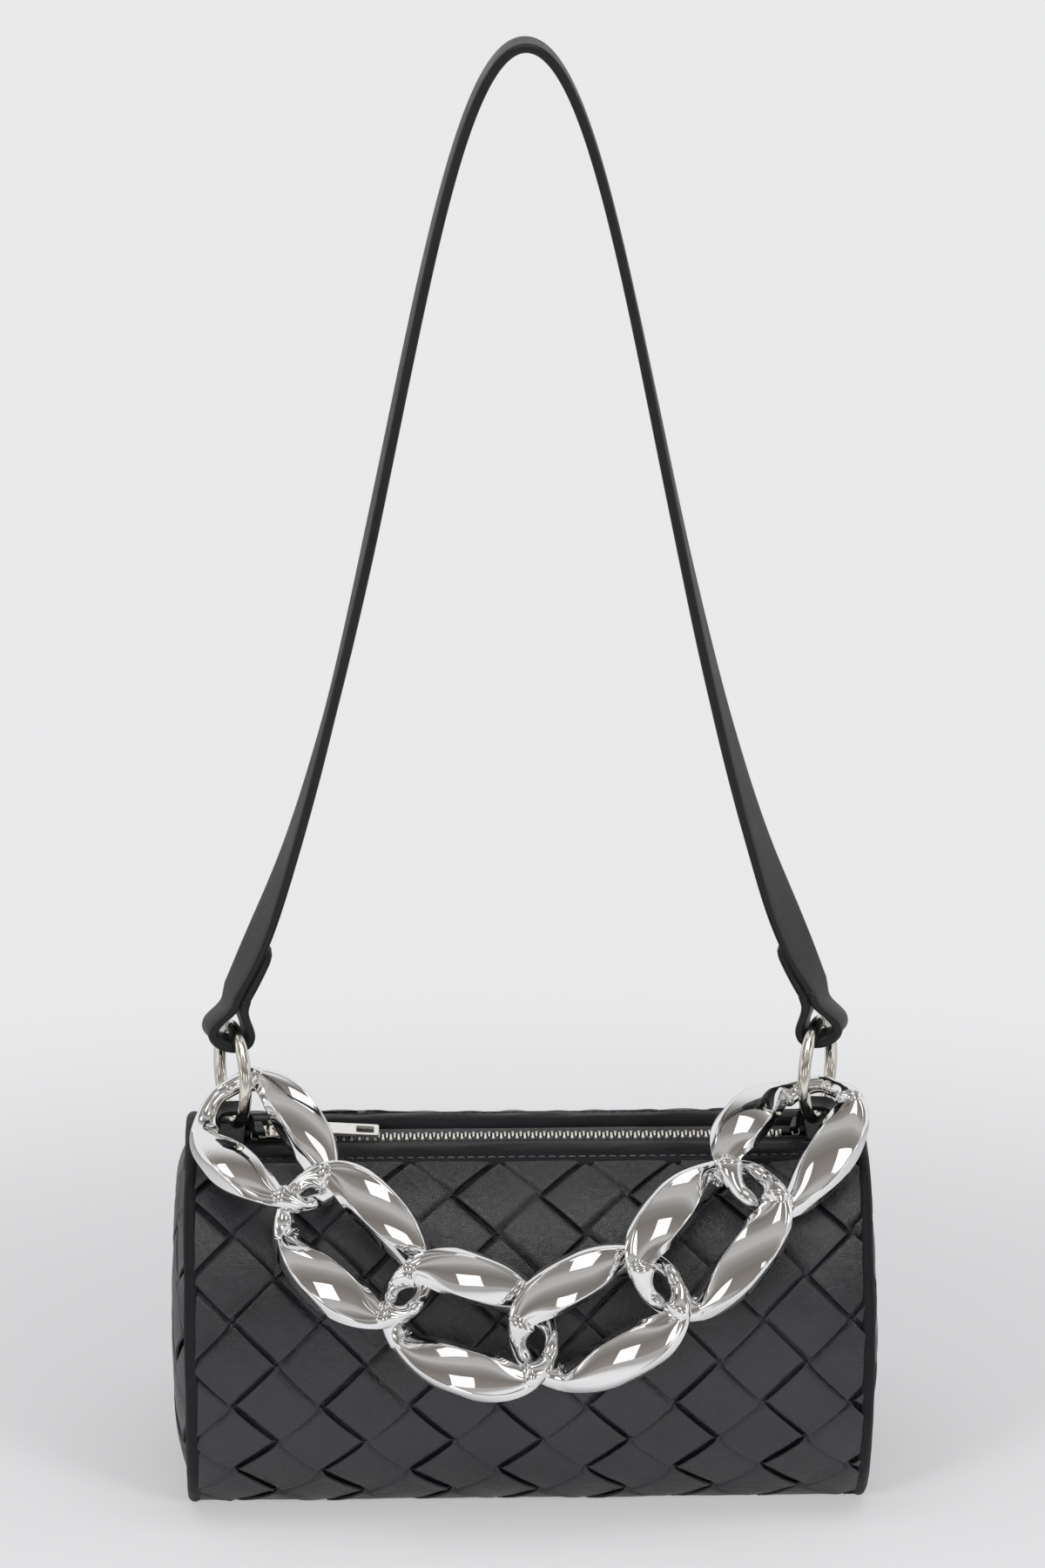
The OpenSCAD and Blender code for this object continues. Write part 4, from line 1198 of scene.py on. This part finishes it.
floor_finish, wire, shader = new_finish("pale paper", (0.89, 0.89, 0.902), 0.9)
shader.inputs["Specular IOR Level"].default_value = 0.1
place = wire.place()
reach = wire.add("ShaderNodeVectorMath", {0: place}, operation="LENGTH").outputs["Value"]
away = wire.ramp(reach, 0.16, 0.62, 0.38)
even = wire.add("ShaderNodeEmission", {"Color": PALE}).outputs["Emission"]
seen = wire.maths("MULTIPLY", away, ray_is(wire, "Is Camera Ray", "Is Transmission Ray"))
paper = wire.mixed(seen, shader.outputs["BSDF"], even)
# In a mirror the sheet ends in the dim room in front of the lamps
room = wire.add("ShaderNodeEmission", {"Color": (0.42, 0.41, 0.40, 1)}).outputs["Emission"]
before = wire.ramp(wire.add("ShaderNodeSeparateXYZ", {"Vector": place}).outputs["Y"], -0.75, -0.22, 1.0, 0.0)
sheet = wire.mixed(wire.maths("MULTIPLY", before, ray_is(wire, "Is Glossy Ray")), paper, room)
wire.feed(wire.nodes["Material Output"].inputs["Surface"], sheet)
bpy.ops.mesh.primitive_plane_add(size=14, location=(0, 0, -0.0002))
floor = bpy.context.object
floor.name = "floor"
floor.data.materials.append(floor_finish)

# %% World
world = bpy.data.worlds.new("studio")
bpy.context.scene.world = world
world.use_nodes = True
wire = Wiring(world.node_tree)
wire.nodes.clear()
# In a mirror the front of the studio is grey, in tall steps with a row of bright windows in each, and the
# sides and the back are pale. Turn is the angle over the horizon as seen from the side. A step is TALL
# degrees high and its windows are WIDE degrees apart.
TALL, WIDE, FIRST_STEP = 47, 44, 4.42 - 6 / 47
split = wire.add("ShaderNodeSeparateXYZ", {"Vector": wire.add("ShaderNodeTexCoord").outputs["Generated"]})
turn = wire.maths("ARCTAN2", split.outputs["Z"], wire.maths("MULTIPLY", split.outputs["Y"], -1))
step = wire.maths("FRACT", wire.maths("ADD", wire.maths("DIVIDE", turn, math.radians(TALL)), FIRST_STEP))
sideways = wire.maths("ABSOLUTE", wire.maths("ARCSINE", split.outputs["X"]))
between = wire.maths("FRACT", wire.maths("DIVIDE", sideways, math.radians(WIDE)))
between = wire.maths("ABSOLUTE", wire.maths("SUBTRACT", between, 0.5))
greys = wire.colours(step, (0, (0.50, 0.49, 0.48)), (0.16, (0.46, 0.45, 0.44)), (0.28, (0.28, 0.26, 0.245)),
                     (0.62, (0.20, 0.182, 0.165)), (0.80, (0.26, 0.245, 0.23)), (0.93, (0.38, 0.37, 0.36)),
                     (1, (0.50, 0.49, 0.48)))


def by_angle(angle, low, high):
    """Rises from 0 at low degrees to 1 at high degrees."""
    return wire.ramp(angle, math.radians(low), math.radians(high))


around = wire.maths("MAXIMUM", by_angle(turn, 112, 135), by_angle(sideways, 60, 78))
around = wire.maths("MAXIMUM", around, by_angle(turn, -40, -60))
room_and_sides = wire.add("ShaderNodeMixRGB", {"Fac": around, "Color1": greys, "Color2": PALE}).outputs["Color"]
in_step = wire.maths("MULTIPLY", wire.ramp(step, 0.21, 0.24), wire.ramp(step, 0.62, 0.59))
in_front = wire.maths("MULTIPLY", by_angle(turn, 112, 108), by_angle(sideways, 76, 74))
window = wire.maths("MULTIPLY", wire.ramp(between, 0.185, 0.165), in_step)
window = wire.maths("MULTIPLY", window, in_front)
lit = wire.add("ShaderNodeMixRGB", {"Fac": window, "Color1": room_and_sides, "Color2": (1, 1, 1, 1)}).outputs["Color"]
bright = wire.maths("ADD", wire.maths("MULTIPLY", window, 0.5), 1.0)
dim = wire.add("ShaderNodeBackground", {"Color": (0.9, 0.9, 0.92, 1), "Strength": 0.38}).outputs["Background"]
pale = wire.add("ShaderNodeBackground", {"Color": PALE}).outputs["Background"]
mirrored = wire.add("ShaderNodeBackground", {"Color": lit, "Strength": bright}).outputs["Background"]
plain = wire.mixed(ray_is(wire, "Is Camera Ray", "Is Transmission Ray"), dim, pale)
pick = wire.mixed(ray_is(wire, "Is Glossy Ray"), plain, mirrored)
wire.add("ShaderNodeOutputWorld", {"Surface": pick})


# %% Lamps
def soft_lamp(name, at, size, watts):
    """A rectangular lamp that looks at the middle of the bag."""
    lamp = bpy.data.lights.new(name, "AREA")
    lamp.shape = "RECTANGLE"
    lamp.size, lamp.size_y = size
    lamp.energy = watts
    obj = bpy.data.objects.new(name, lamp)
    obj.location = at
    obj.rotation_euler = (Vector((0, 0, 0.1)) - Vector(at)).to_track_quat("-Z", "Y").to_euler()
    bpy.context.scene.collection.objects.link(obj)
    return obj


# The front lamps are not mirrored, because the world already shows their windows. The overhead lamp gives
# the leather its sheen and is kept off the links, where it would be one wide white patch.
for name, x in (("left_window", -0.75), ("right_window", 0.75)):
    soft_lamp(name, (x, -1.25, 0.42), (0.36, 0.44), 12).visible_glossy = False
overhead = soft_lamp("overhead", (0, -0.6, 1.6), (1.3, 0.7), 6)
mirrors = bpy.data.collections.new("mirrors")
for i in range(6):
    mirrors.objects.link(bpy.data.objects["curb_link_%d" % (i + 1)])
overhead.light_linking.receiver_collection = mirrors
for member in mirrors.collection_objects:
    member.light_linking.link_state = "EXCLUDE"

# %% [markdown]
# ## Camera
#
# The photograph was taken from well back with a long lens, a little above the bag and looking slightly
# down. These numbers come from lining up the bag's ends, its foot and the top of the strap.

# %% Camera
shot = bpy.data.cameras.new("camera")
shot.lens = 158.19
shot.sensor_width = 36
shot.sensor_fit = "AUTO"
camera = bpy.data.objects.new("camera", shot)
camera.location = (-0.0630, -2.2563, 0.8474)
camera.rotation_euler = (Vector((-0.0008, 0, 0.2467)) - camera.location).to_track_quat("-Z", "Y").to_euler()
bpy.context.scene.collection.objects.link(camera)
bpy.context.scene.camera = camera
bpy.context.scene.view_settings.view_transform = "Standard"
